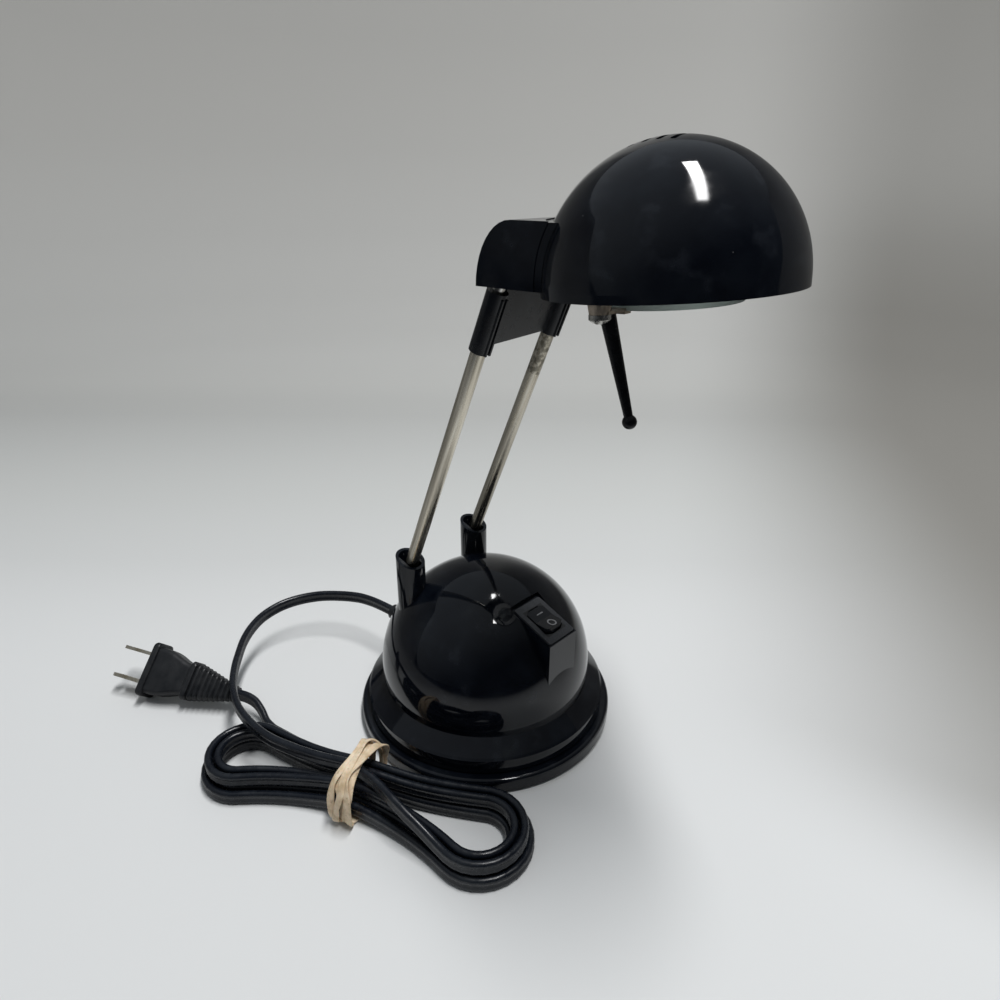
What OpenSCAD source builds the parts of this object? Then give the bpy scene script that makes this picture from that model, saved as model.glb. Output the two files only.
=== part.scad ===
// Desk lamp with a dome shade on two telescoping arms, a domed base with a
// rocker switch, and a flat two-core mains lead folded into a hank.
// Millimetres. +Z is up, the shade points to -Y, the origin is the middle of
// the pad that the base stands on.

/* [Base] */
// Outer radius of the bottom ring
ring_r = 55; // [54:0.5:58]
// Height of the ring's top above the table
ring_top = 7; // [6.5:0.5:9]
// Rounding of the ring's upper edge
ring_edge = 1.6; // [0.8:0.2:2.4]
// Height of the ring's underside above the table
tray_lift = 1; // [0.6:0.1:1.6]
// Width of the dark groove between ring and shell
groove_h = 0.8; // [0.5:0.1:1.2]
// Depth of that groove
groove_d = 1.2; // [0.8:0.1:1.4]
// Radius of the flange at the foot of the dome
flange_r = 51.5; // [50.5:0.5:53]
// Height of the flange's upright band
band_h = 6.4; // [5:0.2:7]
// Height of the slope from the band up to the dome
slope_h = 4.9; // [4:0.1:6]
// Radius of the dome
dome_r = 44.9; // [44:0.1:46]
// Height of the dome's centre above the table
dome_z = 24.7; // [24:0.1:26]
// Wall of the base's moulded shells
wall = 2; // [1.6:0.1:2.4]
// Radius of the foam pad
pad_r = 46; // [45.5:0.5:47]
// Depth to which the pad sits in the ring's underside
pad_sunk = 0.5; // [0.3:0.1:0.7]
// Distance of the base screws from the middle
screw_circle = 40; // [39:0.5:41]
// Radius of the base screws
base_screw_r = 1.7; // [1.4:0.1:1.9]

/* [Arm posts] */
// Distance of each arm from the middle plane
arm_x = 20.5; // [19:0.5:21]
// Distance of the posts behind the middle
post_y = 22.8; // [21:0.2:24]
// Outer radius of a post
post_r = 5.9; // [5.8:0.1:6.4]
// Radius of the cup in a post
cup_r = 4.75; // [4.7:0.05:4.9]
// Height of a post's top at its axis
post_top = 74.5; // [74:0.5:77]
// Slope of a post's top, low at the front
post_slope = 22; // [18:1:26]
// Height of the arm pivot above the table
pivot_z = 71; // [70:0.5:71.5]
// Radius of an arm pivot pin
pivot_pin_r = 1.25; // [1:0.05:1.4]

/* [Arms] */
// Lean of the arms from upright, towards the front
lean = 21.4; // [15:0.2:26]
// Outer radius of the chromed tubes
tube_r = 2.63; // [2.5:0.01:2.7]
// Wall of the chromed tubes
tube_wall = 0.47; // [0.4:0.01:0.6]
// Distance from the arm pivot to the head pivot
arm_len = 128; // [120:1:140]
// Distance from the head pivot down to the top of the tubes
tube_below = 8.2; // [8:0.1:9]
// Length of the sliding rods below the head pivot
rod_len = 109; // [100:1:112]
// Travel of the telescoping arms
travel = 80; // [60:1:80]

/* [Arm bracket] */
// Wall of the sleeves round the tubes
sleeve_wall = 0.8; // [0.7:0.05:1]
// Length of a sleeve
sleeve_len = 21; // [18:0.5:24]
// Distance from the head pivot down to the sleeves' closed top
sleeve_below = 6.4; // [6.2:0.1:7]
// Width of the slit along a sleeve
slit_w = 1.3; // [0.8:0.1:1.6]
// Thickness of the plate between the sleeves
plate_t = 1.6; // [1.2:0.1:1.8]
// Distance from the plate's lower edge up from the sleeves' lower ends
plate_rise = 1.6; // [1:0.1:3]

/* [Shade] */
// Outer radius of the shade
shade_r = 37.7; // [36:0.1:39]
// Place of the shade's centre in front of the middle
shade_y = 68.6; // [67:0.1:71]
// Height of the shade's centre above the table
shade_z = 189; // [188:0.1:191]
// Tilt of the shade, nose up
shade_tilt = 5; // [3:0.5:8]
// Length of the straight skirt below the shade's centre
skirt = 2.4; // [2:0.1:4]
// Wall of the shade
shade_wall = 1.8; // [1.4:0.1:2.2]
// Number of vent slots
vents = 5; // [3:1:5]
// Distance between vent slots
vent_step = 4.1; // [3.5:0.1:4.3]
// Width of a vent slot
vent_w = 1.7; // [1.2:0.1:2]
// Length of a vent slot
vent_len = 22; // [14:1:24]
// Distance of the foremost vent slot in front of the shade's axis
vent_front = 4.5; // [3:0.5:6]

/* [Head block] */
// Half of the block's width
block_w = 26.2; // [25.6:0.1:27]
// Place of the block's rear face in front of the middle
block_rear = 17.4; // [16.5:0.1:17.8]
// Height of the block's open underside above the table
block_low = 185.9; // [185.6:0.1:186.4]
// Height of the block's top above the table
block_top = 205; // [203:0.5:206]
// Depth of the rounded rear edge, seen from the side
block_round = 12.6; // [11:0.2:14]
// Wall of the block
block_wall = 1.8; // [1.4:0.1:1.9]
// Radius of a head pivot pin
head_pin_r = 1.5; // [1.2:0.1:1.6]

/* [Lamp] */
// Radius of the reflector's flange
reflector_r = 34.6; // [34:0.1:35]
// Radius of the reflector's mouth
mouth_r = 19; // [18:0.5:20]
// Depth of the reflector's bowl
bowl_d = 15; // [13:0.5:17]
// Radius of the cover glass
glass_r = 21; // [20.4:0.1:21.5]
// Thickness of the cover glass
glass_t = 2; // [1.5:0.1:2.5]
// Distance of the clip screws from the shade's axis
clip_reach = 29.2; // [29:0.1:29.8]
// Turn of the clips about the shade's axis, towards the block
clip_turn = 14.5; // [14:0.5:17]
// Radius of the halogen capsule
bulb_r = 4.5; // [4:0.1:4.8]
// Length of the handle below its clip
handle_len = 29.4; // [26:0.2:33]
// Radius of the handle at its root
handle_r = 2.35; // [2:0.05:2.4]
// Radius of the handle above its ball
handle_tip_r = 1.3; // [1.1:0.1:1.6]
// Radius of the ball at the handle's end
ball_r = 2.15; // [1.9:0.05:2.5]

/* [Switch] */
// Turn of the switch housing about the dome's axis, towards the left
switch_turn = 7; // [0:0.5:12]
// Width of the switch housing
housing_w = 15.7; // [15.4:0.1:17]
// Distance of the housing's front wall from the dome's axis
housing_front = 42.6; // [42.2:0.1:44]
// Height of the housing's top at that front wall
housing_z = 54.6; // [54.2:0.2:56.2]
// Length of the housing's sloping top
housing_len = 21.3; // [21:0.1:22.2]
// Slope of the housing's top
housing_slope = 19; // [17:0.2:21]
// Width of the switch's frame
frame_w = 14.4; // [14:0.1:14.8]
// Length of the switch's frame
frame_len = 19.9; // [19.2:0.1:20.2]
// Width of the rocker
rocker_w = 9.2; // [8.6:0.1:9.4]
// Length of the rocker
rocker_len = 12.8; // [12:0.2:13.4]
// Angle between the rocker's two positions
rocker_throw = 18; // [14:1:18]

/* [Transformer] */
// Width of the iron core
core_w = 48; // [44:1:50]
// Height of the iron core
core_h = 40; // [36:1:42]
// Stack of the iron core
core_t = 18; // [14:1:20]
// Distance of the core behind the middle
core_y = 8; // [6:0.5:9]

/* [Mains lead] */
// Width of the flat lead
lead_w = 5.6; // [5:0.1:6]
// Thickness of the flat lead
lead_t = 2.8; // [2.4:0.1:3]
// Height at which the lead leaves the dome
lead_z = 24; // [23:0.5:25]
// Length of the moulded bush outside the dome
bush_len = 12; // [10:0.5:14]
// Number of loops in the hank
loops = 5; // [5:1:5]
// Distance between neighbouring loops
loop_step = 3.7; // [3.6:0.1:3.9]
// Radius of the hank's lobes
lobe_r = 19; // [18.6:0.1:20]
// Distance of a lobe's centre from the waist
lobe_c = 50; // [46:1:54]
// Half of the waist's width
waist = 10.8; // [10.6:0.1:11.4]

/* [Plug] */
// Width of the plug's face
plug_w = 24; // [22:0.5:26]
// Thickness of the plug's face
plug_t = 11; // [10:0.5:13]
// Distance between the blades
blade_gap = 12.7; // [12.7:0.1:12.8]
// Length of the blades
blade_len = 16.5; // [15:0.5:18]
// Length of the ribbed sleeve behind the plug
sleeve_ribs = 24; // [20:1:28]

/* [Hidden] */
$fn = 64;
eps = 0.01;
gloss_black = [0.05, 0.05, 0.06];
chrome = [0.75, 0.73, 0.68];
steel = [0.6, 0.6, 0.62];

// clearances
run_gap = 0.06;     // between a pin or rod and the bore that it turns or slides in
press_gap = 0.02;   // between a pin and the hole that holds it
seat_gap = 0.1;     // between moulded parts that are fastened together
move_gap = 0.35;    // between parts that pass each other

// heights of the base's steps
tray_floor = tray_lift + wall;
shell_low = ring_top + groove_h;
band_top = shell_low + band_h;
foot_z = band_top + slope_h;
foot_r = sqrt(pow(dome_r, 2) - pow(foot_z - dome_z, 2));
shoulder_r = flange_r - groove_d;
screw_turns = [45, 135, 225, 315];
pillar_r = base_screw_r + 1.9;
screw_head_r = base_screw_r + 1.5;
screw_head_h = 2;
head_pocket = 3.2;
screw_len = 16;

// arms
tube_bore_r = tube_r - tube_wall;
rod_r = tube_bore_r - run_gap;
knuckle_r = tube_r;
knuckle_w = 2.6;
knuckle_bore_r = pivot_pin_r + run_gap;
insert_r = cup_r - seat_gap;
insert_slot = tube_r + move_gap;
insert_floor = pivot_z - knuckle_r - 3;
rod_eye_r = head_pin_r + 1.5;
rod_eye_w = 4.4;
plug_fill = 13 / 19; // share of the bore under the resting rods that a knuckle's plug fills
head_y = -post_y + arm_len * sin(lean);
head_z = pivot_z + arm_len * cos(lean);
// the head's places are set with its pivot here, and the whole head moves with the pivot
set_y = 23.90423;
set_z = 190.17514;
head_shift = [0, set_y - head_y, head_z - set_z];
sleeve_bore_r = tube_r + seat_gap;
sleeve_r = sleeve_bore_r + sleeve_wall;
sleeve_cap = 1.4;
sleeve_low = arm_len - sleeve_below - sleeve_len;

// shade, in its own frame: origin at the sphere's centre, +Z along its axis
shade_in = shade_r - shade_wall;
flange_t = 0.6;
flange_low = -skirt + 0.4;
glass_top = flange_low - 1.9;
screw_at = [for (s = [-1, 1]) s * clip_reach * [cos(clip_turn), -sin(clip_turn)]];
clip_t = 0.8;
clip_drop = 0.8;
clip_low = glass_top - glass_t - clip_t;
screw_hole_r = 1.5;
boss_r = 3.2;
handle_at = [-22.5, 8.15];
handle_lean = 12.9;
stud_r = 1.1;

// switch, in its own frame: origin on top of the housing, +Z out of it
switch_mid = [0, -(housing_front - housing_len / 2 * cos(housing_slope)),
  housing_z + housing_len / 2 * sin(housing_slope)];
frame_proud = 0.7;
frame_room = 0.25;
pocket = 0.45;
crown = 0.004;      // the dome's top is flat by this much
frame_t = 1.4;
frame_sink = frame_t - frame_proud;
body_w = frame_w - 1.6;
body_len = frame_len - 1.8;
body_depth = 13;
rocker_axis = -0.9;
rocker_rest = rocker_throw / 2;
trunnion_r = 0.9;
housing_skin = 1.5;

// hank: the lobes' arcs meet the hollow sides' arcs without a corner
hollow_r = (pow(lobe_c, 2) + pow(waist, 2) - pow(lobe_r, 2)) / (2 * (lobe_r - waist));
sway = asin(lobe_c / (lobe_r + hollow_r));
run_share = 0.27;
lobe_share = 0.5 - run_share;
reverse_at = loops / 2;
hank_end = loops - 0.5 + run_share / 2;
hank_mid = [-73.5, 2.5];
hank_heading = -73;
hank_bend_r = 400;
layer_h = lead_w + 0.5;
waist_lift = 2.2;
ground = lead_w / 2 + 0.05;
band_w = 3;
band_t = 1;
band_turns = 5;
band_reach = 4.6;

// plug: middle of its face, and how it lies on the table
plug_yaw = 109.2;
plug_pitch = 3.2;
plug_roll = 43.5;
plug_round = 2.5;
plug_at = [-87.5, 125.5, 11.3];
plug_plate = 3.2;
plug_body_len = 19;
plug_len = plug_plate + plug_body_len + sleeve_ribs;
plug_dir = [cos(plug_yaw) * cos(plug_pitch), sin(plug_yaw) * cos(plug_pitch), sin(plug_pitch)];
plug_tail = plug_at - plug_len * plug_dir;

// free run of the lead, from the bush over the plug's lead to the hank's waist
bush_end = dome_r + bush_len;
lead_route = [[0, 61, 24], [0, 67, 24], [0, 74, 23.5], [-1, 81, 23], [-4, 90, 22],
  [-10, 99, 21.5], [-18, 105.5, 21], [-27, 109, 20.5], [-37, 109, 20], [-46, 105.5, 20],
  [-55, 99.5, 20], [-63, 92, 20], [-71, 83.5, 20], [-78, 74, 19.5], [-83, 63, 18.5],
  [-85, 51, 17.5], [-85, 40, 17], [-83, 29, 17], [-80, 18, 17]];
// lead from the plug's ribbed sleeve into the outermost loop of the hank
plug_route = [[-69.9, 72.6, 7.3], [-70.6, 67.5, 5.4], [-72.2, 62.2, 3.5]];

// ---- helpers ----

// place of the arms' own frame: origin on the arm pivot, +Z along the arms
module in_arm_frame() {
  translate([0, post_y, pivot_z])
    rotate([lean, 0, 0])
      children();
}

// the head as set, carried along with its pivot
module in_head() {
  translate(head_shift)
    children();
}

// place of the shade's own frame
module in_shade_frame() {
  translate(head_shift + [0, -shade_y, shade_z])
    rotate([-shade_tilt, 0, 0])
      children();
}

// place of the switch's own frame: +Z out of the sloping top, -Y down the slope
module in_switch_frame() {
  rotate([0, 0, -switch_turn])
    translate(switch_mid)
      rotate([housing_slope, 0, 0])
        children();
}

// place of the plug's own frame: +Z out of its face, X across the blades
module in_plug_frame() {
  translate(plug_at)
    rotate([0, 90 - plug_pitch, plug_yaw])
      rotate([0, 0, 270 - plug_roll])
        children();
}

// rod along X, centred at x
module x_rod(r, x, len) {
  translate([x - len / 2, 0, 0])
    rotate([0, 90, 0])
      cylinder(r = r, h = len);
}

// flat bar with round corners in plan
module rounded_bar(w, d, h, r) {
  linear_extrude(h)
    rounded_plan(w, d, r);
}

module rounded_plan(w, d, r) {
  square([w - 2 * r, d], center = true);
  square([w, d - 2 * r], center = true);
  for (sx = [-1, 1], sy = [-1, 1])
    translate([sx * (w / 2 - r), sy * (d / 2 - r)])
      circle(r = r);
}

// closed tube through a list of rings of points
module tube_of_rings(rings, closed = false) {
  n = len(rings[0]);
  m = len(rings);
  last = closed ? m - 1 : m - 2;
  sides = [for (i = [0:last], k = [0:n - 1])
    let (a = i * n + k, b = i * n + (k + 1) % n, c = ((i + 1) % m) * n + (k + 1) % n,
      d = ((i + 1) % m) * n + k)
    each [[a, b, c], [a, c, d]]];
  caps = closed ? [] : concat([for (k = [1:n - 2]) [0, k + 1, k]],
    [for (k = [1:n - 2]) [(m - 1) * n, (m - 1) * n + k, (m - 1) * n + k + 1]]);
  polyhedron(points = [for (r = rings) each r], faces = concat(sides, caps));
}

function unit(v) = v / norm(v);
function ease(x) = let (c = min(1, max(0, x))) c * c * (3 - 2 * c);
function way(p, i) = unit(p[min(i + 1, len(p) - 1)] - p[max(i - 1, 0)]);

// one ring of the flat lead, standing on its edge
function lead_ring(at, dir, n) =
  let (side = unit(cross(dir, [0, 0, 1])), up = cross(side, dir), grow = 1 / cos(180 / n))
  [for (k = [0:n - 1]) let (a = 360 * (k + 0.5) / n)
    at + grow * (lead_t / 2 * cos(a) * side + lead_w / 2 * sin(a) * up)];

function lead_rings(p, n) = [for (i = [0:len(p) - 1]) lead_ring(p[i], way(p, i), n)];

// smooth curve through route points, with a few points added in each span
function spline_at(p, i, f) =
  let (a = p[max(i - 1, 0)], b = p[i], c = p[i + 1], d = p[min(i + 2, len(p) - 1)])
  0.5 * (2 * b + f * (c - a) + f * f * (2 * a - 5 * b + 4 * c - d)
    + f * f * f * (3 * b - a - 3 * c + d));

// ---- the hank's centre line ----

// how far inside the outermost loop the lead runs after t loops
function inset(t) = loop_step * (t < reverse_at ? t
  : reverse_at - max(0, t - reverse_at - run_share));

// height: two layers, and a last climb over the waist
function layer(t) = layer_h * (ease((t - reverse_at) / run_share)
  + ease((t - (loops - 0.5)) / (run_share * 0.3)));

// point of a loop in the hank's flat frame, q = share of the loop gone, s = inset
function loop_point(q, s) =
  q < run_share
    ? let (a = sway * (2 * q / run_share - 1))
      [(hollow_r + s) * sin(a), waist + hollow_r - (hollow_r + s) * cos(a)]
  : q < 0.5
    ? let (a = (90 + sway) * (1 - 2 * (q - run_share) / lobe_share))
      [lobe_c + (lobe_r - s) * cos(a), (lobe_r - s) * sin(a)]
  : q < 0.5 + run_share
    ? let (a = sway * (1 - 2 * (q - 0.5) / run_share))
      [(hollow_r + s) * sin(a), (hollow_r + s) * cos(a) - waist - hollow_r]
  : let (a = (90 + sway) * (2 * (q - 0.5 - run_share) / lobe_share - 1))
      [-lobe_c - (lobe_r - s) * cos(a), (lobe_r - s) * sin(a)];

// the hank lies in a slight bow round the base
function bowed(p, z) =
  let (along = [cos(hank_heading), sin(hank_heading)], across = [-along[1], along[0]],
    a = p[0] / hank_bend_r * 180 / PI, r = hank_bend_r + p[1],
    xy = hank_mid + along * r * sin(a) + across * (r * cos(a) - hank_bend_r))
  [xy[0], xy[1], z];

function hank_point(t) =
  let (p = loop_point(t - floor(t), inset(t)),
    shift = 6 * ease((t - (hank_end - run_share * 0.3)) / (run_share * 0.3)))
  bowed([p[0], p[1] + shift], ground + layer(t) + waist_lift * exp(-pow(p[0] / 16, 2)));

hank_rings = 24;
hank_path = [for (i = [0:floor(hank_end * hank_rings)]) hank_point(i / hank_rings)];

// least gap between stretches more than half a loop apart: the two cores of
// the flat lead are taken as circles
function cores(p) = [p + [0, 0, lead_w / 4], p - [0, 0, lead_w / 4]];
hank_gap = min([for (i = [0:len(hank_path) - 1], j = [i + hank_rings / 2:len(hank_path) - 1])
  min([for (a = cores(hank_path[i]), b = cores(hank_path[j])) norm(a - b)])]) - lead_t;
base_room = min([for (p = hank_path) norm([p[0], p[1]])]) - lead_t / 2 - ring_r;
function path_len(p) = len(p) < 2 ? 0 : [for (i = 1, s = norm(p[1] - p[0]); i < len(p);
  i = i + 1, s = s + (i < len(p) ? norm(p[i] - p[i - 1]) : 0)) s][len(p) - 2];
hank_last = hank_path[len(hank_path) - 1];
hank_out = unit(hank_last - hank_path[len(hank_path) - 2]);
hank_in = unit(hank_path[1] - hank_path[0]);
run_path = concat([for (p = lead_route) p], [hank_last + 6 * hank_out]);
plug_path = concat([plug_tail - 5 * plug_dir], plug_route, [hank_path[0] - 6 * hank_in]);
echo(hank_gap = hank_gap, base_room = base_room, hank_length = path_len(hank_path),
  run_length = path_len(run_path) + 6, plug_length = path_len(plug_path) + 11);

// ---- base ----

// half section of the domed shell, drawn smaller by the inset
module shell_half(in) {
  top = foot_z - in * 0.7;
  polygon([[0, shell_low], [flange_r - in, shell_low], [flange_r - in, band_top - in * 0.7 - 0.8],
    [flange_r - in - 0.8, band_top - in * 0.7], [foot_r - in, top], [0, top]]);
  intersection() {
    translate([0, dome_z])
      circle(r = dome_r - in, $fn = 128);
    translate([0, top - eps])
      square([dome_r, dome_z + dome_r - in - crown - top + eps]);
  }
}

// switch housing: side outline pulled across, inset on all but the open side
module housing(in) {
  half = housing_w / 2 - in;
  front = housing_front - in;
  rear = housing_front - housing_len * cos(housing_slope);
  rise = (housing_len) * sin(housing_slope);
  drop = in / cos(housing_slope);
  rotate([0, 0, -switch_turn])
    translate([-half, 0, 0])
      rotate([90, 0, 90])
        linear_extrude(2 * half)
          polygon([[-front, 22], [-front, housing_z - drop + in * tan(housing_slope)],
            [-rear - in, housing_z + rise - drop - in * tan(housing_slope)],
            [-rear - in, 45], [-rear - in, 22]]);
}

module post_body(side) {
  translate([side * arm_x, post_y, 50])
    cylinder(r = post_r, h = post_top + 10 - 50);
}

// space above the sloping tops of the posts
module above_posts() {
  translate([-60, post_y, post_top])
    rotate([post_slope, 0, 0])
      translate([0, -15, 0])
        cube([120, 30, 40]);
}

module base_shell() {
  color(gloss_black)
    difference() {
      union() {
        difference() {
          union() {
            rotate_extrude($fn = 128)
              shell_half(0);
            intersection() {
              housing(0);
              translate([0, 0, dome_z])
                sphere(r = dome_r + 18, $fn = 96);
            }
            for (side = [-1, 1])
              post_body(side);
          }
          translate([0, 0, -eps])
            rotate_extrude($fn = 128)
              shell_half(wall);
          housing(housing_skin);
          translate([0, 0, shell_low - 1])
            cylinder(r = flange_r - wall, h = 1);
        }
        intersection() {
          rotate_extrude($fn = 128)
            shell_half(wall / 2);
          union() {
            for (a = screw_turns)
              rotate([0, 0, a])
                translate([screw_circle, 0, shell_low - 0.6])
                  cylinder(r = pillar_r, h = 40);
            for (side = [-1, 1])
              translate([side * arm_x, post_y, insert_floor - wall])
                cylinder(r = post_r, h = 10);
          }
        }
      }
      above_posts();
      in_switch_frame()
        translate([-housing_w / 2 - pocket, -housing_len / 2 - 3, -0.05])
          cube([housing_w + 2 * pocket, housing_len + 3 + 2 * pocket, 9]);
      for (side = [-1, 1])
        translate([side * arm_x, post_y, insert_floor])
          cylinder(r = cup_r, h = 40);
      for (a = screw_turns)
        rotate([0, 0, a])
          translate([screw_circle, 0, 0])
            cylinder(r = base_screw_r + press_gap, h = tray_lift + head_pocket + screw_len + 2);
      in_switch_frame() {
        translate([0, 0, -body_depth])
          rounded_bar(body_w + 2 * seat_gap, body_len + 2 * seat_gap, body_depth + 1, 1);
        translate([0, 0, -frame_sink])
          rounded_bar(frame_w + 2 * frame_room, frame_len + 2 * frame_room, 3, 0.8);
      }
      translate([0, dome_r - 6, lead_z])
        rotate([-90, 0, 0])
          cylinder(r = 4.2, h = 8);
    }
}

module base_ring() {
  boss_top = shell_low - 0.6 - seat_gap;
  color(gloss_black)
    difference() {
      union() {
        rotate_extrude($fn = 128) {
          translate([0, tray_lift])
            square([ring_r - 0.6, wall]);
          translate([shoulder_r - 2.4, tray_lift])
            square([2.4, shell_low - tray_lift]);
          translate([shoulder_r - 1, tray_lift])
            square([ring_r - ring_edge - shoulder_r + 1, ring_top - tray_lift]);
          translate([shoulder_r - 1, tray_lift + 0.6])
            square([ring_r - shoulder_r + 1, ring_top - ring_edge - tray_lift - 0.6]);
          translate([ring_r - ring_edge, ring_top - ring_edge])
            circle(r = ring_edge);
          translate([flange_r - wall - seat_gap - 1.6, tray_lift])
            square([1.6, shell_low + 3 - tray_lift]);
        }
        for (a = screw_turns)
          rotate([0, 0, a])
            translate([screw_circle, 0, tray_lift])
              cylinder(r = screw_head_r + 1.6, h = boss_top - tray_lift);
        for (side = [-1, 1])
          translate([side * strap_hole, core_y, tray_lift])
            cylinder(r = 4, h = strap_low - tray_lift);
      }
      for (a = screw_turns)
        rotate([0, 0, a])
          translate([screw_circle, 0, 0]) {
            cylinder(r = base_screw_r + seat_gap, h = 20);
            cylinder(r = screw_head_r + seat_gap, h = tray_lift + head_pocket);
          }
      cylinder(r = pad_r + seat_gap, h = tray_lift + pad_sunk);
      for (side = [-1, 1])
        translate([side * strap_hole, core_y, tray_floor])
          cylinder(r = strap_screw_r + press_gap, h = 10);
    }
}

module base_pad() {
  color([0.16, 0.16, 0.17])
    difference() {
      cylinder(r = pad_r, h = tray_lift + pad_sunk);
      for (a = screw_turns)
        rotate([0, 0, a])
          translate([screw_circle, 0, -1])
            cylinder(r = screw_head_r + 0.6, h = 10);
    }
}

module base_screws() {
  color(steel)
    for (a = screw_turns)
      rotate([0, 0, a])
        translate([screw_circle, 0, tray_lift + head_pocket])
          difference() {
            union() {
              translate([0, 0, -screw_head_h])
                cylinder(r = screw_head_r, h = screw_head_h);
              cylinder(r = base_screw_r, h = screw_len);
            }
            for (turn = [0, 90])
              rotate([0, 0, turn])
                translate([-screw_head_r * 0.6, -0.4, -screw_head_h - eps])
                  cube([screw_head_r * 1.2, 0.8, 1]);
          }
}

// ---- transformer ----

leg = core_w / 6;
core_low = tray_floor;
window_h = core_h - 2 * leg;
strap_t = 1.2;
strap_w = core_t - 4;
strap_hole = core_w / 2 + strap_t + 4.5;
strap_low = tray_floor + 2;
strap_screw_r = 1.4;
coil_out = 7.4;

module transformer_core() {
  color([0.35, 0.34, 0.36])
    translate([0, core_y, core_low])
      difference() {
        translate([-core_w / 2, -core_t / 2, 0])
          cube([core_w, core_t, core_h]);
        for (side = [-1, 1])
          translate([side * leg * 1.5 - leg / 2, -core_t, leg])
            cube([leg, 2 * core_t, window_h]);
      }
}

module transformer_bobbin() {
  flange = 1.2;
  color([0.92, 0.9, 0.82])
    translate([0, core_y, core_low + leg + seat_gap])
      difference() {
        union() {
          for (z = [0, window_h - 2 * seat_gap - flange])
            translate([0, 0, z])
              rounded_bar(4 * leg - 2 * seat_gap, core_t + 2 * coil_out + 1.6, flange, 1.5);
          rounded_bar(2 * leg + 2.4, core_t + 2.4, window_h - 2 * seat_gap, 0.6);
        }
        translate([-leg - seat_gap, -core_t / 2 - seat_gap, -1])
          cube([2 * leg + 2 * seat_gap, core_t + 2 * seat_gap, window_h + 2]);
      }
}

module transformer_winding() {
  color([0.85, 0.72, 0.2])
    translate([0, core_y, core_low + leg + seat_gap + 1.2 + seat_gap])
      difference() {
        rounded_bar(4 * leg - 6 * seat_gap, core_t + 2 * coil_out,
          window_h - 2.4 - 4 * seat_gap, 3);
        translate([0, 0, -1])
          rounded_bar(2 * leg + 2.4 + 2 * seat_gap, core_t + 2.4 + 2 * seat_gap, window_h, 0.6);
      }
}

module transformer_strap() {
  strap_foot = 4;
  out = core_w / 2 + seat_gap;
  top = core_low + core_h + seat_gap;
  color(steel)
    translate([0, core_y, 0])
      difference() {
        rotate([90, 0, 0])
          translate([0, 0, -strap_w / 2])
            linear_extrude(strap_w) {
              translate([-out - strap_t, top])
                square([2 * out + 2 * strap_t, strap_t]);
              for (side = [-1, 1]) {
                translate([side * (out + strap_t / 2) - strap_t / 2, strap_low])
                  square([strap_t, top - strap_low + eps]);
                translate([side > 0 ? out : -strap_hole - strap_foot, strap_low])
                  square([strap_hole + strap_foot - out, strap_t]);
              }
            }
        for (side = [-1, 1])
          translate([side * strap_hole, 0, strap_low - 1])
            cylinder(r = strap_screw_r + seat_gap, h = strap_t + 2);
      }
}

module strap_screws() {
  color(steel)
    for (side = [-1, 1])
      translate([side * strap_hole, core_y, strap_low + strap_t])
        difference() {
          union() {
            cylinder(r = 2.6, h = 1.8);
            translate([0, 0, -3.2])
              cylinder(r = strap_screw_r, h = 4);
          }
          translate([-2, -0.35, 1])
            cube([4, 0.7, 1]);
        }
}

// ---- switch ----

// plan of the rocker: straight sides, ends rounded about its middle
module rocker_plan(grow) {
  intersection() {
    square([rocker_w + 2 * grow, rocker_len + 2 * grow], center = true);
    circle(r = rocker_len / 2 + 0.35 + grow);
  }
}

module switch_frame() {
  color([0.1, 0.1, 0.11])
    in_switch_frame()
      difference() {
        union() {
          translate([0, 0, -frame_sink])
            rounded_bar(frame_w, frame_len, frame_t, 0.8);
          translate([0, 0, -body_depth])
            rounded_bar(body_w, body_len, body_depth, 1);
        }
        translate([0, 0, -6.5])
          linear_extrude(10)
            rocker_plan(move_gap);
        translate([0, 0, rocker_axis])
          x_rod(trunnion_r + run_gap, 0, rocker_w + 2.6 + 2 * run_gap);
        for (y = [-5.5, 0, 5.5])
          translate([-0.4 - press_gap, y - 2.4 - press_gap, -body_depth - 1])
            cube([0.8 + 2 * press_gap, 4.8 + 2 * press_gap, 3]);
      }
}

// rocker at rest in its ON place: the rear end pressed in
module switch_rocker() {
  half = rocker_len / 2;
  rise = 1.95;
  color([0.07, 0.07, 0.08])
    in_switch_frame()
      translate([0, 0, rocker_axis])
        rotate([-rocker_rest, 0, 0]) {
          intersection() {
            translate([-rocker_w / 2, 0, 0])
              rotate([90, 0, 90])
                linear_extrude(rocker_w)
                  intersection() {
                    circle(r = half);
                    polygon([[-half, -3], [0, -4.6], [half, -3], [half, rise + half * sin(rocker_rest)],
                      [0, rise], [-half, rise + half * sin(rocker_rest)]]);
                  }
            translate([0, 0, -8])
              linear_extrude(16)
                rocker_plan(0);
          }
          x_rod(trunnion_r, 0, rocker_w + 2.4);
        }
}

module switch_terminals() {
  color([0.8, 0.68, 0.35])
    in_switch_frame()
      for (y = [-5.5, 0, 5.5])
        difference() {
          translate([-0.4, y - 2.4, -body_depth - 7])
            cube([0.8, 4.8, 9]);
          translate([0, y, -body_depth - 4.5])
            x_rod(0.8, 0, 3);
        }
}

// ---- arm posts and pivots ----

module post_insert(side) {
  color([0.09, 0.09, 0.1])
    difference() {
      translate([side * arm_x, post_y, insert_floor])
        cylinder(r = insert_r, h = post_top - insert_floor + 6);
      translate([0, 0, -0.5])
        above_posts();
      translate([side * arm_x - insert_slot, post_y - 10, pivot_z - knuckle_r - move_gap])
        cube([2 * insert_slot, 20, 20]);
      translate([0, post_y, pivot_z])
        x_rod(pivot_pin_r + press_gap, side * arm_x, 2 * insert_r + 1);
    }
}

module post_insert_left() post_insert(-1);
module post_insert_right() post_insert(1);

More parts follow.
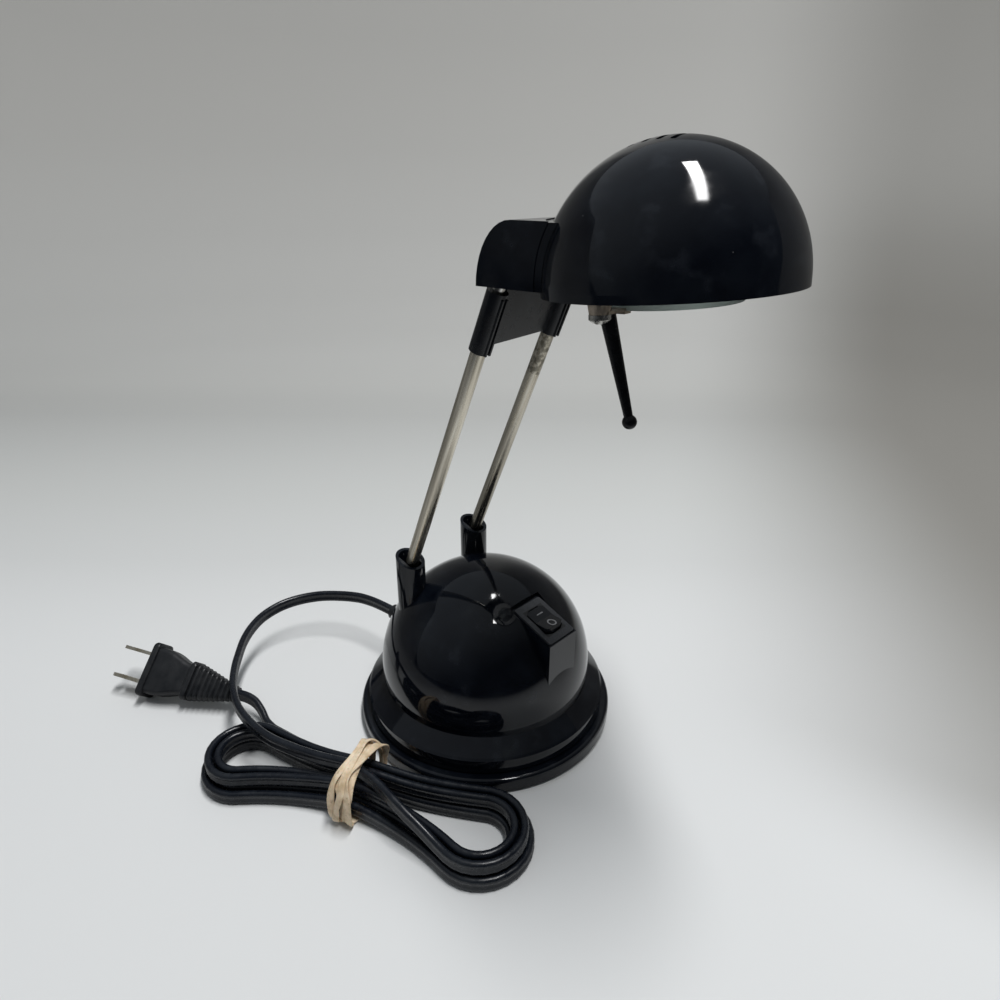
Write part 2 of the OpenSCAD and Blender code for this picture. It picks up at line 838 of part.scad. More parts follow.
module arm_pins() {
  color(steel)
    for (side = [-1, 1])
      translate([0, post_y, pivot_z])
        x_rod(pivot_pin_r, side * arm_x, 2 * insert_r - 0.8);
}

module arm_knuckle(side) {
  color(chrome)
    in_arm_frame()
      difference() {
        union() {
          intersection() {
            x_rod(knuckle_r, side * arm_x, 2 * knuckle_w);
            translate([side * arm_x, 0, -knuckle_r - 1])
              cylinder(r = tube_r, h = 2 * knuckle_r + 2);
          }
          translate([side * arm_x, 0, 0])
            cylinder(r = tube_bore_r - press_gap, h = (arm_len - rod_len) * plug_fill);
          translate([side * arm_x, 0, 0])
            cylinder(r = tube_r, h = knuckle_r + 0.4);
        }
        x_rod(knuckle_bore_r, side * arm_x, 4 * knuckle_w);
      }
}

module arm_knuckle_left() arm_knuckle(-1);
module arm_knuckle_right() arm_knuckle(1);

// ---- arms ----

module arm_tube(side) {
  low = knuckle_r + 0.4;
  high = arm_len - tube_below;
  color(chrome)
    in_arm_frame()
      translate([side * arm_x, 0, low])
        difference() {
          cylinder(r = tube_r, h = high - low);
          translate([0, 0, -1])
            cylinder(r = tube_bore_r, h = high - low + 2);
        }
}

module arm_tube_left() arm_tube(-1);
module arm_tube_right() arm_tube(1);

// sliding rod with the flattened eye that the head turns on
module arm_rod(side) {
  color(chrome)
    in_arm_frame()
      difference() {
        union() {
          translate([side * arm_x, 0, arm_len - rod_len])
            cylinder(r = rod_r, h = rod_len);
          translate([0, 0, arm_len])
            x_rod(rod_eye_r, side * arm_x, rod_eye_w);
        }
        translate([0, 0, arm_len])
          x_rod(head_pin_r + run_gap, side * arm_x, 4 * rod_eye_w);
      }
}

module arm_rod_left() arm_rod(-1);
module arm_rod_right() arm_rod(1);

// plate with a slit sleeve at each side that hugs the chromed tube
module arm_bracket() {
  cap_low = arm_len - sleeve_below - sleeve_cap;
  lip_out = 1.1;
  color([0.07, 0.07, 0.075])
    in_arm_frame()
      difference() {
        union() {
          for (side = [-1, 1])
            translate([side * arm_x, 0, sleeve_low]) {
              cylinder(r = sleeve_r, h = sleeve_len);
              for (lip = [-1, 1])
                translate([lip * (slit_w / 2 + sleeve_wall / 2) - sleeve_wall / 2,
                  -sleeve_r - lip_out * 0.4, 0])
                  cube([sleeve_wall, sleeve_r, sleeve_len - sleeve_cap]);
            }
          translate([-arm_x, -plate_t / 2, sleeve_low + plate_rise])
            cube([2 * arm_x, plate_t, arm_len - 3.6 - sleeve_low - plate_rise]);
        }
        for (side = [-1, 1])
          translate([side * arm_x, 0, sleeve_low]) {
            translate([0, 0, -1])
              cylinder(r = sleeve_bore_r, h = cap_low - sleeve_low + 1);
            translate([0, 0, -2])
              cylinder(r = rod_r + press_gap, h = sleeve_len + 10);
            translate([-slit_w / 2, -sleeve_r - 2, -1])
              cube([slit_w, sleeve_r + 2, cap_low - sleeve_low + 1]);
          }
        for (side = [-1, 1])
          translate([side * arm_x, 0, sleeve_low + sleeve_len])
            cylinder(r = sleeve_r + move_gap, h = 20);
      }
}

// ---- head ----

// half section of the shade: dome over a short straight skirt
module shade_half(in) {
  intersection() {
    circle(r = shade_r - in, $fn = 128);
    square([shade_r, shade_r]);
  }
  translate([0, -skirt])
    square([shade_r - in, skirt]);
}

module shade() {
  color(gloss_black)
    in_shade_frame()
      difference() {
        union() {
          difference() {
            rotate_extrude($fn = 128)
              shade_half(0);
            translate([0, 0, -eps])
              rotate_extrude($fn = 128)
                shade_half(shade_wall);
            translate([0, 0, -skirt - 1])
              cylinder(r = shade_in, h = 1.5);
            for (i = [0:vents - 1])
              translate([0, i * vent_step - vent_front, shade_in - 8])
                vent_slot();
          }
          intersection() {
            sphere(r = shade_r - shade_wall / 2, $fn = 128);
            for (at = screw_at)
              translate([at[0], at[1], flange_low + flange_t])
                cylinder(r = boss_r, h = shade_r);
          }
        }
        for (at = screw_at)
          translate([at[0], at[1], flange_low])
            cylinder(r = screw_hole_r + press_gap, h = 9);
        rotate([shade_tilt, 0, 0]) {
          for (side = [-1, 1])
            translate([side * head_screw_x, shade_r * 0.6, head_screw_z - shade_z])
              rotate([-90, 0, 0])
                cylinder(r = head_screw_r + seat_gap, h = shade_r);
          translate([0, shade_r * 0.6, set_z - shade_z + 3])
            rotate([-90, 0, 0])
              cylinder(r = 3.5, h = shade_r);
        }
      }
}

// slot with round ends, long across the shade
module vent_slot() {
  linear_extrude(12) {
    square([vent_len - vent_w, vent_w], center = true);
    for (side = [-1, 1])
      translate([side * (vent_len - vent_w) / 2, 0])
        circle(d = vent_w);
  }
}

head_screw_x = 11;
head_screw_z = 198.5;
head_screw_r = 1.4;
seam_w = 2.2;
seam_d = 0.3;

// side outline of the block, inset by in, pulled to the given half width
module block_solid(half, in) {
  rx = block_round - in;
  rz = block_top - block_low - in;
  rotate([90, 0, 90])
    translate([0, 0, -half])
      linear_extrude(2 * half)
        polygon(concat([[-shade_y, block_low - (in > 0.6 ? 1 : 0)],
          [-block_rear - in, block_low - (in > 0.6 ? 1 : 0)]],
          [for (a = [0:9:90]) [-block_rear - block_round + rx * cos(a), block_low + rz * sin(a)]],
          [[-shade_y, block_top - in]]));
}

module shade_ball(r) {
  translate([0, -shade_y, shade_z])
    sphere(r = r, $fn = 128);
}

module head_block() {
  color([0.055, 0.055, 0.065])
    in_head()
      block_form();
}

module block_form() {
  rib_x = arm_x - rod_eye_w / 2 - 0.3;
  wall_in = block_w - block_wall;
  difference() {
    union() {
      difference() {
        union() {
          difference() {
            block_solid(block_w, 0);
            shade_ball(shade_r + seam_w);
          }
          block_solid(block_w - seam_d, seam_d);
        }
        block_solid(wall_in, block_wall);
      }
      intersection() {
        block_solid(wall_in + 0.5, 0.5);
        union() {
          for (side = [-1, 1]) {
            translate([0, -set_y, set_z]) {
              x_rod(rod_eye_r - 0.4, side * (rib_x - 1.2), 2.4);
              x_rod(rod_eye_r - 0.4, side * (wall_in + arm_x + rod_eye_w / 2 + 0.3) / 2,
                wall_in - arm_x - rod_eye_w / 2 - 0.3 + eps);
            }
            translate([side * (rib_x - 1.2) - 1.2, -set_y - rod_eye_r + 0.4, set_z])
              cube([2.4, 2 * rod_eye_r - 0.8, block_top - set_z]);
            translate([side * head_screw_x, -shade_y + shade_r * 0.7, head_screw_z])
              rotate([-90, 0, 0])
                cylinder(r = 3, h = block_rear_depth());
            translate([side * head_screw_x - 1, -shade_y + shade_r * 0.7, head_screw_z])
              cube([2, block_rear_depth(), block_top - head_screw_z]);
          }
        }
      }
    }
    shade_ball(shade_r + seat_gap);
    translate([0, -set_y, set_z])
      for (side = [-1, 1])
        x_rod(head_pin_r + press_gap, side * (rib_x - 2.4 + wall_in + 0.9) / 2,
          wall_in + 0.9 - rib_x + 2.4 + 2 * press_gap);
    for (side = [-1, 1]) {
      translate([side * arm_x - sleeve_r - move_gap, -block_rear - 6, block_low - 1])
        cube([2 * sleeve_r + 2 * move_gap, 10, 5.4]);
      translate([side * head_screw_x, -shade_y, head_screw_z])
        rotate([-90, 0, 0])
          cylinder(r = head_screw_r + press_gap, h = shade_y - head_screw_tip());
    }
  }
}

function block_rear_depth() = shade_y - shade_r * 0.7 - head_screw_tip() + 1.6;
function head_screw_tip() = 26;

module head_pins() {
  rib_x = arm_x - rod_eye_w / 2 - 0.3;
  far = block_w - block_wall + 0.9;
  color(steel)
    in_head()
      translate([0, -set_y, set_z])
        for (side = [-1, 1])
          x_rod(head_pin_r, side * (rib_x - 2.4 + far) / 2, far - rib_x + 2.4);
}

module head_screws() {
  reach = sqrt(pow(shade_in, 2) - pow(head_screw_x, 2) - pow(head_screw_z - shade_z, 2));
  head_low = -shade_y + reach - 3.1;
  color(steel)
    in_head()
      for (side = [-1, 1])
        translate([side * head_screw_x, head_low, head_screw_z])
          rotate([-90, 0, 0]) {
            cylinder(r = 2.4, h = 1.6);
            cylinder(r = head_screw_r, h = -head_screw_tip() - head_low - 0.4);
          }
}

bowl_r = (pow(mouth_r, 2) + pow(bowl_d, 2)) / (2 * bowl_d);
bowl_z = flange_low + bowl_d - bowl_r;
bulb_z = flange_low + 6.4;

module reflector() {
  lip = mouth_r + 0.8;
  color([0.86, 0.86, 0.87])
    in_shade_frame()
      difference() {
        union() {
          translate([0, 0, flange_low])
            difference() {
              cylinder(r = reflector_r, h = flange_t);
              translate([0, 0, -1])
                cylinder(r = mouth_r, h = 3);
            }
          intersection() {
            difference() {
              translate([0, 0, bowl_z])
                sphere(r = bowl_r + flange_t, $fn = 96);
              translate([0, 0, bowl_z])
                sphere(r = bowl_r, $fn = 96);
            }
            translate([0, 0, flange_low])
              cylinder(r = shade_r, h = shade_r);
          }
          difference() {
            translate([0, 0, glass_top])
              cylinder(r = lip, h = flange_low - glass_top + eps);
            translate([0, 0, glass_top - 1])
              cylinder(r = mouth_r, h = 6);
          }
        }
        for (at = screw_at)
          translate([at[0], at[1], flange_low - 2])
            cylinder(r = screw_hole_r + seat_gap, h = 6);
        translate([handle_at[0], handle_at[1], flange_low - 2])
          cylinder(r = stud_r + seat_gap, h = 6);
        translate([-6.4, 10, bulb_z - 4.9])
          cube([12.8, 20, 9.8]);
      }
}

module socket_bracket() {
  color(steel)
    in_shade_frame()
      difference() {
        translate([-6, 20.4, flange_low + flange_t])
          cube([12, 6, bulb_z - 4.6 - flange_low - flange_t]);
        for (side = [-1, 1])
          translate([side * 4, 24.4, flange_low])
            cylinder(r = 0.8, h = 4);
      }
}

module lamp_socket() {
  color([0.93, 0.91, 0.86])
    in_shade_frame()
      difference() {
        translate([-6, 15.5, bulb_z - 4.6])
          cube([12, 10.5, 9.2]);
        for (side = [-1, 1])
          translate([side * 2, 15, bulb_z])
            rotate([-90, 0, 0])
              cylinder(r = 0.5 + run_gap, h = 8);
        for (side = [-1, 1])
          translate([side * 7, 20.75, bulb_z])
            x_rod(1.6, 0, 3);
      }
}

module halogen_bulb() {
  color([0.9, 0.92, 0.95, 0.5])
    in_shade_frame()
      translate([0, 0, bulb_z]) {
        translate([0, 8, 0])
          rotate([90, 0, 0])
            cylinder(r = bulb_r, h = 12);
        translate([0, -4, 0])
          sphere(r = bulb_r);
        translate([-bulb_r * 0.8, 8, -1.4])
          cube([bulb_r * 1.6, 5.5, 2.8]);
      }
}

module bulb_pins() {
  color(steel)
    in_shade_frame()
      for (side = [-1, 1])
        translate([side * 2, 13.5, bulb_z])
          rotate([-90, 0, 0])
            cylinder(r = 0.5, h = 8);
}

module cover_glass() {
  color([0.75, 0.85, 0.82, 0.4])
    in_shade_frame()
      translate([0, 0, glass_top - glass_t])
        cylinder(r = glass_r, h = glass_t);
}

// spring clip: a pressed cup under the flange that holds the screw, and a
// tongue that steps down and reaches under the edge of the glass
module glass_clips() {
  high = clip_low + clip_t + clip_drop;
  edge = glass_r + seat_gap;
  color([0.62, 0.57, 0.5])
    in_shade_frame()
      for (turn = [180 - clip_turn, -clip_turn])
        rotate([0, 0, turn])
          difference() {
            union() {
              translate([clip_reach, 0, high - clip_t])
                cylinder(r1 = 2.9, r2 = 3.5, h = flange_low - high + clip_t);
              intersection() {
                translate([0, 0, clip_low])
                  linear_extrude(clip_t + clip_drop)
                    tongue_plan();
                union() {
                  translate([edge, -5, high - clip_t])
                    cube([clip_reach - edge, 10, clip_t]);
                  translate([edge - 3, -5, clip_low])
                    cube([3 + clip_t, 10, clip_t]);
                  translate([edge, -5, clip_low])
                    cube([clip_t, 10, high - clip_low]);
                }
              }
            }
            translate([clip_reach, 0, clip_low])
              cylinder(r = screw_hole_r + seat_gap, h = 6);
            rotate([0, 0, 180 + clip_turn])
              translate([handle_at[0], handle_at[1], clip_low - 1])
                cylinder(r = stud_r + seat_gap, h = 8);
          }
}

module tongue_plan() {
  polygon([[glass_r - 1.2, -2], [clip_reach, -3.2], [clip_reach, 3.2], [glass_r - 1.2, 2]]);
  translate([glass_r - 1.2, 0])
    intersection() {
      circle(r = 2);
      translate([-2, -3])
        square([2 + eps, 6]);
    }
}

module clip_screws() {
  seat = clip_low + clip_drop;
  dome_r = 4.1;
  dome_h = 2.7;
  color([0.66, 0.65, 0.63])
    in_shade_frame()
      for (at = screw_at)
        translate([at[0], at[1], seat])
          difference() {
            union() {
              intersection() {
                translate([0, 0, dome_r - dome_h])
                  sphere(r = dome_r);
                translate([0, 0, -dome_h])
                  cylinder(r = 3.05, h = dome_h);
              }
              cylinder(r = screw_hole_r, h = 11);
            }
            translate([-4, -0.4, -3])
              cube([8, 0.8, 1]);
          }
}

// tapered handle with a ball: its root sits under the clip, its stud goes
// through the clip and the reflector's flange
module shade_handle() {
  color([0.04, 0.04, 0.045])
    in_shade_frame()
      translate([handle_at[0], handle_at[1], clip_low]) {
        cylinder(r = stud_r, h = flange_low + 2 - clip_low);
        difference() {
          rotate([-handle_lean, 0, 0]) {
            translate([0, 0, -handle_len])
              rotate_extrude()
                polygon([[0, 0], [handle_tip_r, 0], [handle_r, handle_len], [handle_r, handle_len + 1],
                  [0, handle_len + 1]]);
            translate([0, 0, -handle_len - ball_r * 0.6])
              sphere(r = ball_r);
          }
          cylinder(r = 6, h = 6);
        }
      }
}

// ---- mains lead ----

module lead_bush() {
  color([0.05, 0.05, 0.055])
    translate([0, 0, lead_z])
      rotate([-90, 0, 0])
        rotate_extrude()
          polygon([[0, dome_r - wall - 3], [6, dome_r - wall - 3], [6, dome_r - wall - 1],
            [4.1, dome_r - wall - 1], [4.1, dome_r + 0.3], [5, dome_r + 0.3],
            [5, dome_r + 1.6], [4.5, dome_r + 2.2], [3.6, bush_end], [0, bush_end]]);
}

module power_lead() {
  n = len(run_path);
  path = [for (i = [0:n - 2], f = [0, 0.5]) spline_at(run_path, i, f)];
  color([0.06, 0.06, 0.065])
    tube_of_rings(lead_rings(concat([[0, bush_end, lead_z]], path, [run_path[n - 1], hank_last]), 8));
}

module lead_hank() {
  color([0.07, 0.07, 0.075])
    tube_of_rings(lead_rings(hank_path, 6));
}

module plug_lead() {
  n = len(plug_path);
  path = [for (i = [0:n - 2], f = [0, 0.5]) spline_at(plug_path, i, f)];
  color([0.06, 0.06, 0.065])
    tube_of_rings(lead_rings(concat([plug_tail], path, [plug_path[n - 1], hank_path[0]]), 8));
}

module plug_body() {
  neck_w = 10.5;
  color([0.06, 0.065, 0.07])
    in_plug_frame()
      difference() {
        union() {
          translate([0, 0, -plug_plate])
            rounded_bar(plug_w, plug_t, plug_plate, plug_round);
          hull() {
            translate([0, 0, -plug_plate - 2])
              rounded_bar(plug_w - 4.5, plug_t - 1.6, 2, 2.4, $fn = 32);
            translate([0, 0, -plug_plate - 12])
              rounded_bar(plug_w - 8, plug_t - 2.4, 2, 3, $fn = 32);
          }
          hull() {
            translate([0, 0, -plug_plate - 12])
              rounded_bar(plug_w - 8, plug_t - 2.4, 1, 3, $fn = 32);
            translate([0, 0, -plug_plate - plug_body_len])
              rounded_bar(neck_w, plug_t - 3.4, 1, 3, $fn = 32);
          }
          hull() {
            translate([0, 0, -plug_plate - plug_body_len - 1])
              rounded_bar(7.6, 5.4, 1, 2, $fn = 32);
            translate([0, 0, -plug_len])
              rounded_bar(6.4, 4, 1, 1.8, $fn = 32);
          }
          for (i = [0:6])
            translate([0, 0, -plug_plate - plug_body_len - 2.9 - i * (sleeve_ribs - 4) / 6])
              rounded_bar(10 - i * 0.5, 7.4 - i * 0.45, 1.7, 2);
        }
        for (side = [-1, 1])
          translate([side * blade_gap / 2, 0, -6])
            cube([1.5 + 2 * press_gap, 6.3 + 2 * press_gap, 12.1], center = true);
      }
}

module plug_blades() {
  color([0.78, 0.76, 0.7])
    in_plug_frame()
      for (side = [-1, 1])
        translate([side * blade_gap / 2, 0, 0])
          difference() {
            union() {
              translate([-0.75, -3.15, -12])
                cube([1.5, 6.3, 12 + blade_len - 2]);
              rotate([0, 90, 0])
                translate([0, 0, -0.75])
                  linear_extrude(1.5)
                    polygon([[-blade_len + 2.01, -3.15], [-blade_len, -1.6], [-blade_len, 1.6],
                      [-blade_len + 2.01, 3.15]]);
            }
            translate([0, 0, blade_len - 4.5])
              x_rod(1.6, 0, 4);
          }
}

// rubber band: one endless strip that goes round the waist five times and
// crosses itself, each crossing turn further out than the one beneath
module rubber_band() {
  n = band_turns * 24;
  along = [cos(hank_heading), sin(hank_heading), 0];
  across = [-along[1], along[0], 0];
  mid = [hank_mid[0], hank_mid[1], 0];
  low = 0.05 + band_t / 2;
  high = ground + waist_lift + 2 * layer_h + lead_w / 2 + 1;
  half_w = waist + lead_t / 2 + 1.7;
  pts = [for (i = [0:n - 1])
    let (a = 360 * i / 24, b = a / band_turns, out = 1 + sin(b), c = cos(a), s = sin(a))
    mid + along * band_reach * cos(b) + across * (half_w + out) * sign(c) * pow(abs(c), s > 0 ? 0.75 : 0.4)
      + [0, 0, (low + high) / 2 + ((high - low) / 2 + out * (s > 0 ? 1 : 0))
        * sign(s) * pow(abs(s), s > 0 ? 0.9 : 0.4)]];
  color([0.85, 0.72, 0.53])
    tube_of_rings([for (i = [0:n - 1])
      let (dir = unit(pts[(i + 1) % n] - pts[(i + n - 1) % n]), out = unit(cross(dir, along)),
        wide = cross(out, dir))
      [for (k = [0:5]) let (t = 60 * k + 30)
        pts[i] + out * band_t / 2 * sin(t) + wide * band_w / 2 * cos(t) / cos(30)]],
      closed = true);
}

base_shell();
base_ring();
base_pad();
base_screws();
transformer_core();
transformer_bobbin();
transformer_winding();
transformer_strap();
strap_screws();
switch_frame();
switch_rocker();
switch_terminals();
post_insert_left();
post_insert_right();
arm_pins();
lead_bush();
power_lead();
lead_hank();
plug_lead();
plug_body();
plug_blades();
rubber_band();
arm_tube_left();
arm_tube_right();
arm_knuckle_left();
arm_knuckle_right();
arm_rod_left();
arm_rod_right();
arm_bracket();
shade();
head_block();
head_pins();
head_screws();
reflector();
socket_bracket();
lamp_socket();
halogen_bulb();
bulb_pins();
cover_glass();
glass_clips();
clip_screws();
shade_handle();
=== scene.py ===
import math

import bmesh
import bpy
from mathutils import Matrix, Vector


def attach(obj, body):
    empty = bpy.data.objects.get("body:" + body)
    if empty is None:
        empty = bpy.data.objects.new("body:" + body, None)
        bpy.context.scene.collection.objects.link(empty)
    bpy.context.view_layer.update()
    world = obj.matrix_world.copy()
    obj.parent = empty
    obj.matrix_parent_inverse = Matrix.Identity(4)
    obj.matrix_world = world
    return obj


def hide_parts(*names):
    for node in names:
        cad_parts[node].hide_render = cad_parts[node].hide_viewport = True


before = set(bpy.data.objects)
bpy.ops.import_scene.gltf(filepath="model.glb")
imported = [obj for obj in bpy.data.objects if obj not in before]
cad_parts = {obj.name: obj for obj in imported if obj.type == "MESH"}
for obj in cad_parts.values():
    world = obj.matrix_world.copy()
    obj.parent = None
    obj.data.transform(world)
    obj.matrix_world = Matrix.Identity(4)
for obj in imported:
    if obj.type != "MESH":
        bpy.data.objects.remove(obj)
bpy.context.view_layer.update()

scene = bpy.context.scene
scene.view_settings.view_transform = "Standard"

# ---- Camera ----------------------------------------------------------------
# A phone held at the lamp's front left, a little above the shade, with a wide
# lens. Place and turn come from the base's rings and the dome's outline.

camera_place = (-0.19658, -0.15478, 0.21501)
camera_yaw = -53.156
camera_down = 24.722
camera_roll = 0.329
camera_lens = 24.972

camera_data = bpy.data.cameras.new("camera")
camera_data.lens = camera_lens
camera_data.sensor_width = 36
camera_data.clip_start = 0.01
camera_data.clip_end = 20
camera = bpy.data.objects.new("camera", camera_data)
scene.collection.objects.link(camera)
turn = (Matrix.Rotation(math.radians(camera_yaw), 4, "Z")
        @ Matrix.Rotation(math.radians(90 - camera_down), 4, "X")
        @ Matrix.Rotation(math.radians(camera_roll), 4, "Z"))
camera.matrix_world = Matrix.Translation(camera_place) @ turn
scene.camera = camera

# ---- Mains lead ------------------------------------------------------------
# Flat two-core lead in black vinyl: two ribs with a groove between them. From
# the bush it lies in a loose bow round the left and is folded on edge into a
# hank in two layers, whose other end runs to the plug. All in millimetres.

MM = 0.001
lead_w = 5.6
lead_t = 2.8
bush_tip = (0, 56.9, 24)
lead_route = [(0, 61, 24), (0, 67, 24), (0, 74, 23.5), (-1, 81, 23), (-4, 90, 22),
              (-10, 99, 21.5), (-18, 105.5, 21), (-27, 109, 20.5), (-37, 109, 20),
              (-46, 105.5, 20), (-55, 99.5, 20), (-63, 92, 20), (-71, 83.5, 20),
              (-78, 74, 19.5), (-83, 63, 18.5), (-85, 51, 17.5), (-85, 40, 17),
              (-83, 29, 17), (-80, 18, 17)]
plug_route = [(-69.9, 72.6, 7.3), (-70.6, 67.5, 5.4), (-72.2, 62.2, 3.5)]

loops = 5
loop_step = 3.7
lobe_r = 19
lobe_c = 50
waist = 10.8
run_share = 0.27
hank_mid = Vector((-73.5, 2.5))
hank_heading = math.radians(-73)
hank_bend_r = 400
layer_h = lead_w + 0.5
waist_lift = 2.2
waist_lift_reach = 16
end_sidestep = 6
lead_ground = lead_w / 2 + 0.05
hollow_r = (lobe_c ** 2 + waist ** 2 - lobe_r ** 2) / (2 * (lobe_r - waist))
sway = math.asin(lobe_c / (lobe_r + hollow_r))
reverse_at = loops / 2
hank_end = loops - 0.5 + run_share / 2
last_climb = run_share * 0.3
hank_along = Vector((math.cos(hank_heading), math.sin(hank_heading)))
hank_across = Vector((-hank_along.y, hank_along.x))


def ease(x):
    """A soft step from 0 to 1."""
    x = min(1, max(0, x))
    return x * x * (3 - 2 * x)


def loop_point(share, inset):
    """Point of one loop of the hank in its own flat frame: two lobes and two hollow sides."""
    quarter = math.radians(90) + sway
    lobe_share = 0.5 - run_share
    if share < run_share:
        a = sway * (2 * share / run_share - 1)
        return (hollow_r + inset) * math.sin(a), waist + hollow_r - (hollow_r + inset) * math.cos(a)
    if share < 0.5:
        a = quarter * (1 - 2 * (share - run_share) / lobe_share)
        return lobe_c + (lobe_r - inset) * math.cos(a), (lobe_r - inset) * math.sin(a)
    if share < 0.5 + run_share:
        a = sway * (1 - 2 * (share - 0.5) / run_share)
        return (hollow_r + inset) * math.sin(a), (hollow_r + inset) * math.cos(a) - waist - hollow_r
    a = quarter * (2 * (share - 0.5 - run_share) / lobe_share - 1)
    return -lobe_c - (lobe_r - inset) * math.cos(a), (lobe_r - inset) * math.sin(a)


def hank_point(t):
    """Point of the hank after t loops: it spirals in, climbs a layer and spirals out."""
    turns_in = t if t < reverse_at else reverse_at - max(0, t - reverse_at - run_share)
    x, y = loop_point(t % 1, loop_step * turns_in)
    y += end_sidestep * ease((t - (hank_end - last_climb)) / last_climb)
    z = lead_ground + waist_lift * math.exp(-(x / waist_lift_reach) ** 2)
    z += layer_h * (ease((t - reverse_at) / run_share) + ease((t - (loops - 0.5)) / last_climb))
    a = x / hank_bend_r
    r = hank_bend_r + y
    flat = hank_mid + hank_along * r * math.sin(a) + hank_across * (r * math.cos(a) - hank_bend_r)
    return Vector((flat.x, flat.y, z))


def smooth_run(points, steps):
    """A Catmull-Rom curve through the points."""
    out = []
    p = [Vector(q) for q in points]
    for i in range(len(p) - 1):
        a, b, c, d = p[max(i - 1, 0)], p[i], p[i + 1], p[min(i + 2, len(p) - 1)]
        for k in range(steps):
            f = k / steps
            out.append(0.5 * (2 * b + f * (c - a) + f * f * (2 * a - 5 * b + 4 * c - d)
                              + f ** 3 * (3 * b - a - 3 * c + d)))
    return out + [p[-1]]


def strip_along(name, line, section):
    """A curve object that pulls a flat section, in millimetres, along a line of points."""
    profile = bpy.data.curves.new(name + "_section", "CURVE")
    profile.dimensions = "2D"
    rim = profile.splines.new("POLY")
    rim.points.add(len(section) - 1)
    for p, (x, y) in zip(rim.points, section):
        p.co = (x * MM, y * MM, 0, 1)
    rim.use_cyclic_u = True
    rim.use_smooth = True
    path = bpy.data.curves.new(name, "CURVE")
    path.dimensions = "3D"
    path.bevel_mode = "OBJECT"
    path.bevel_object = bpy.data.objects.new(name + "_section", profile)
    path.use_fill_caps = True
    spline = path.splines.new("POLY")
    spline.points.add(len(line) - 1)
    for p, q in zip(spline.points, line):
        p.co = (*(Vector(q) * MM), 1)
    spline.use_smooth = True
    strip = bpy.data.objects.new(name, path)
    scene.collection.objects.link(strip)
    return strip


rings_a_loop = 72
run_steps = 5
straight_at_hank = 6
straight_at_plug = 5
plug_len = 46.2
hank_line = [hank_point(i / rings_a_loop) for i in range(int(hank_end * rings_a_loop) + 1)]
hank_out = (hank_line[-1] - hank_line[-2]).normalized()
hank_in = (hank_line[1] - hank_line[0]).normalized()
bow_line = smooth_run([bush_tip] + lead_route + [hank_line[-1] + straight_at_hank * hank_out],
                      run_steps)
plug_face = Vector((-87.5, 125.5, 11.3))
plug_yaw, plug_pitch, plug_roll = math.radians(109.2), math.radians(3.2), math.radians(43.5)
plug_dir = Vector((math.cos(plug_yaw) * math.cos(plug_pitch),
                   math.sin(plug_yaw) * math.cos(plug_pitch), math.sin(plug_pitch)))
plug_tail = plug_face - plug_len * plug_dir
tail_line = smooth_run([plug_tail, plug_tail - straight_at_plug * plug_dir] + plug_route
                       + [hank_line[0] - straight_at_hank * hank_in], run_steps)
lead_line = bow_line + hank_line[::-1][1:] + tail_line[::-1]

core_r = lead_t / 2
core_off = (lead_w - lead_t) / 2
core_points = 4
core_step = math.radians(29)
groove_share = 0.62
lead_section = []
for side in (1, -1):
    for k in range(-core_points, core_points + 1):
        a = core_step * k
        lead_section.append((side * core_r * math.sin(a), side * (core_off + core_r * math.cos(a))))
    lead_section.append((side * core_r * groove_share, 0))
lead = strip_along("lead", lead_line, lead_section)
lead.data.twist_mode = "Z_UP"


def finish(name, colour, roughness, metallic=0.0, specular=0.5):
    """A new material with its Principled shader."""
    mat = bpy.data.materials.new(name)
    mat.use_nodes = True
    shader = mat.node_tree.nodes["Principled BSDF"]
    shader.inputs["Base Color"].default_value = (*colour, 1)
    shader.inputs["Roughness"].default_value = roughness
    shader.inputs["Metallic"].default_value = metallic
    shader.inputs["Specular IOR Level"].default_value = specular
    return mat


def math_step(mat, operation, *values, clamp=False):
    """One Math node; each value is a number or a socket."""
    node = mat.node_tree.nodes.new("ShaderNodeMath")
    node.operation = operation
    node.use_clamp = clamp
    for socket, value in zip(node.inputs, values):
        if isinstance(value, (int, float)):
            socket.default_value = value
        else:
            mat.node_tree.links.new(value, socket)
    return node.outputs[0]


def place(mat, stretch=(1, 1, 1), lean=0):
    """The object's own coordinates, drawn out along the axes of a frame that leans about X."""
    tree = mat.node_tree
    own = tree.nodes.new("ShaderNodeTexCoord")
    mapping = tree.nodes.new("ShaderNodeMapping")
    mapping.vector_type = "TEXTURE"
    mapping.inputs["Rotation"].default_value = (math.radians(lean), 0, 0)
    mapping.inputs["Scale"].default_value = stretch
    tree.links.new(own.outputs["Object"], mapping.inputs["Vector"])
    return mapping.outputs["Vector"]


def grain(mat, size, detail=3.0, stretch=(1, 1, 1), lean=0):
    """Noise with features of about the given size in millimetres."""
    tree = mat.node_tree
    noise = tree.nodes.new("ShaderNodeTexNoise")
    noise.inputs["Scale"].default_value = 1000 / size
    noise.inputs["Detail"].default_value = detail
    tree.links.new(place(mat, stretch, lean), noise.inputs["Vector"])
    return noise.outputs["Fac"]


def specks(mat, spacing, size, empty=0.6):
    """Small dots, one or none in each cell; spacing and size in millimetres, empty is a share."""
    tree = mat.node_tree
    cells = tree.nodes.new("ShaderNodeTexVoronoi")
    cells.inputs["Scale"].default_value = 1000 / spacing
    tree.links.new(place(mat), cells.inputs["Vector"])
    dot = math_step(mat, "LESS_THAN", cells.outputs["Distance"], size / spacing)
    split = tree.nodes.new("ShaderNodeSeparateColor")
    tree.links.new(cells.outputs["Color"], split.inputs["Color"])
    filled = math_step(mat, "GREATER_THAN", split.outputs["Red"], empty)
    return math_step(mat, "MULTIPLY", dot, filled)


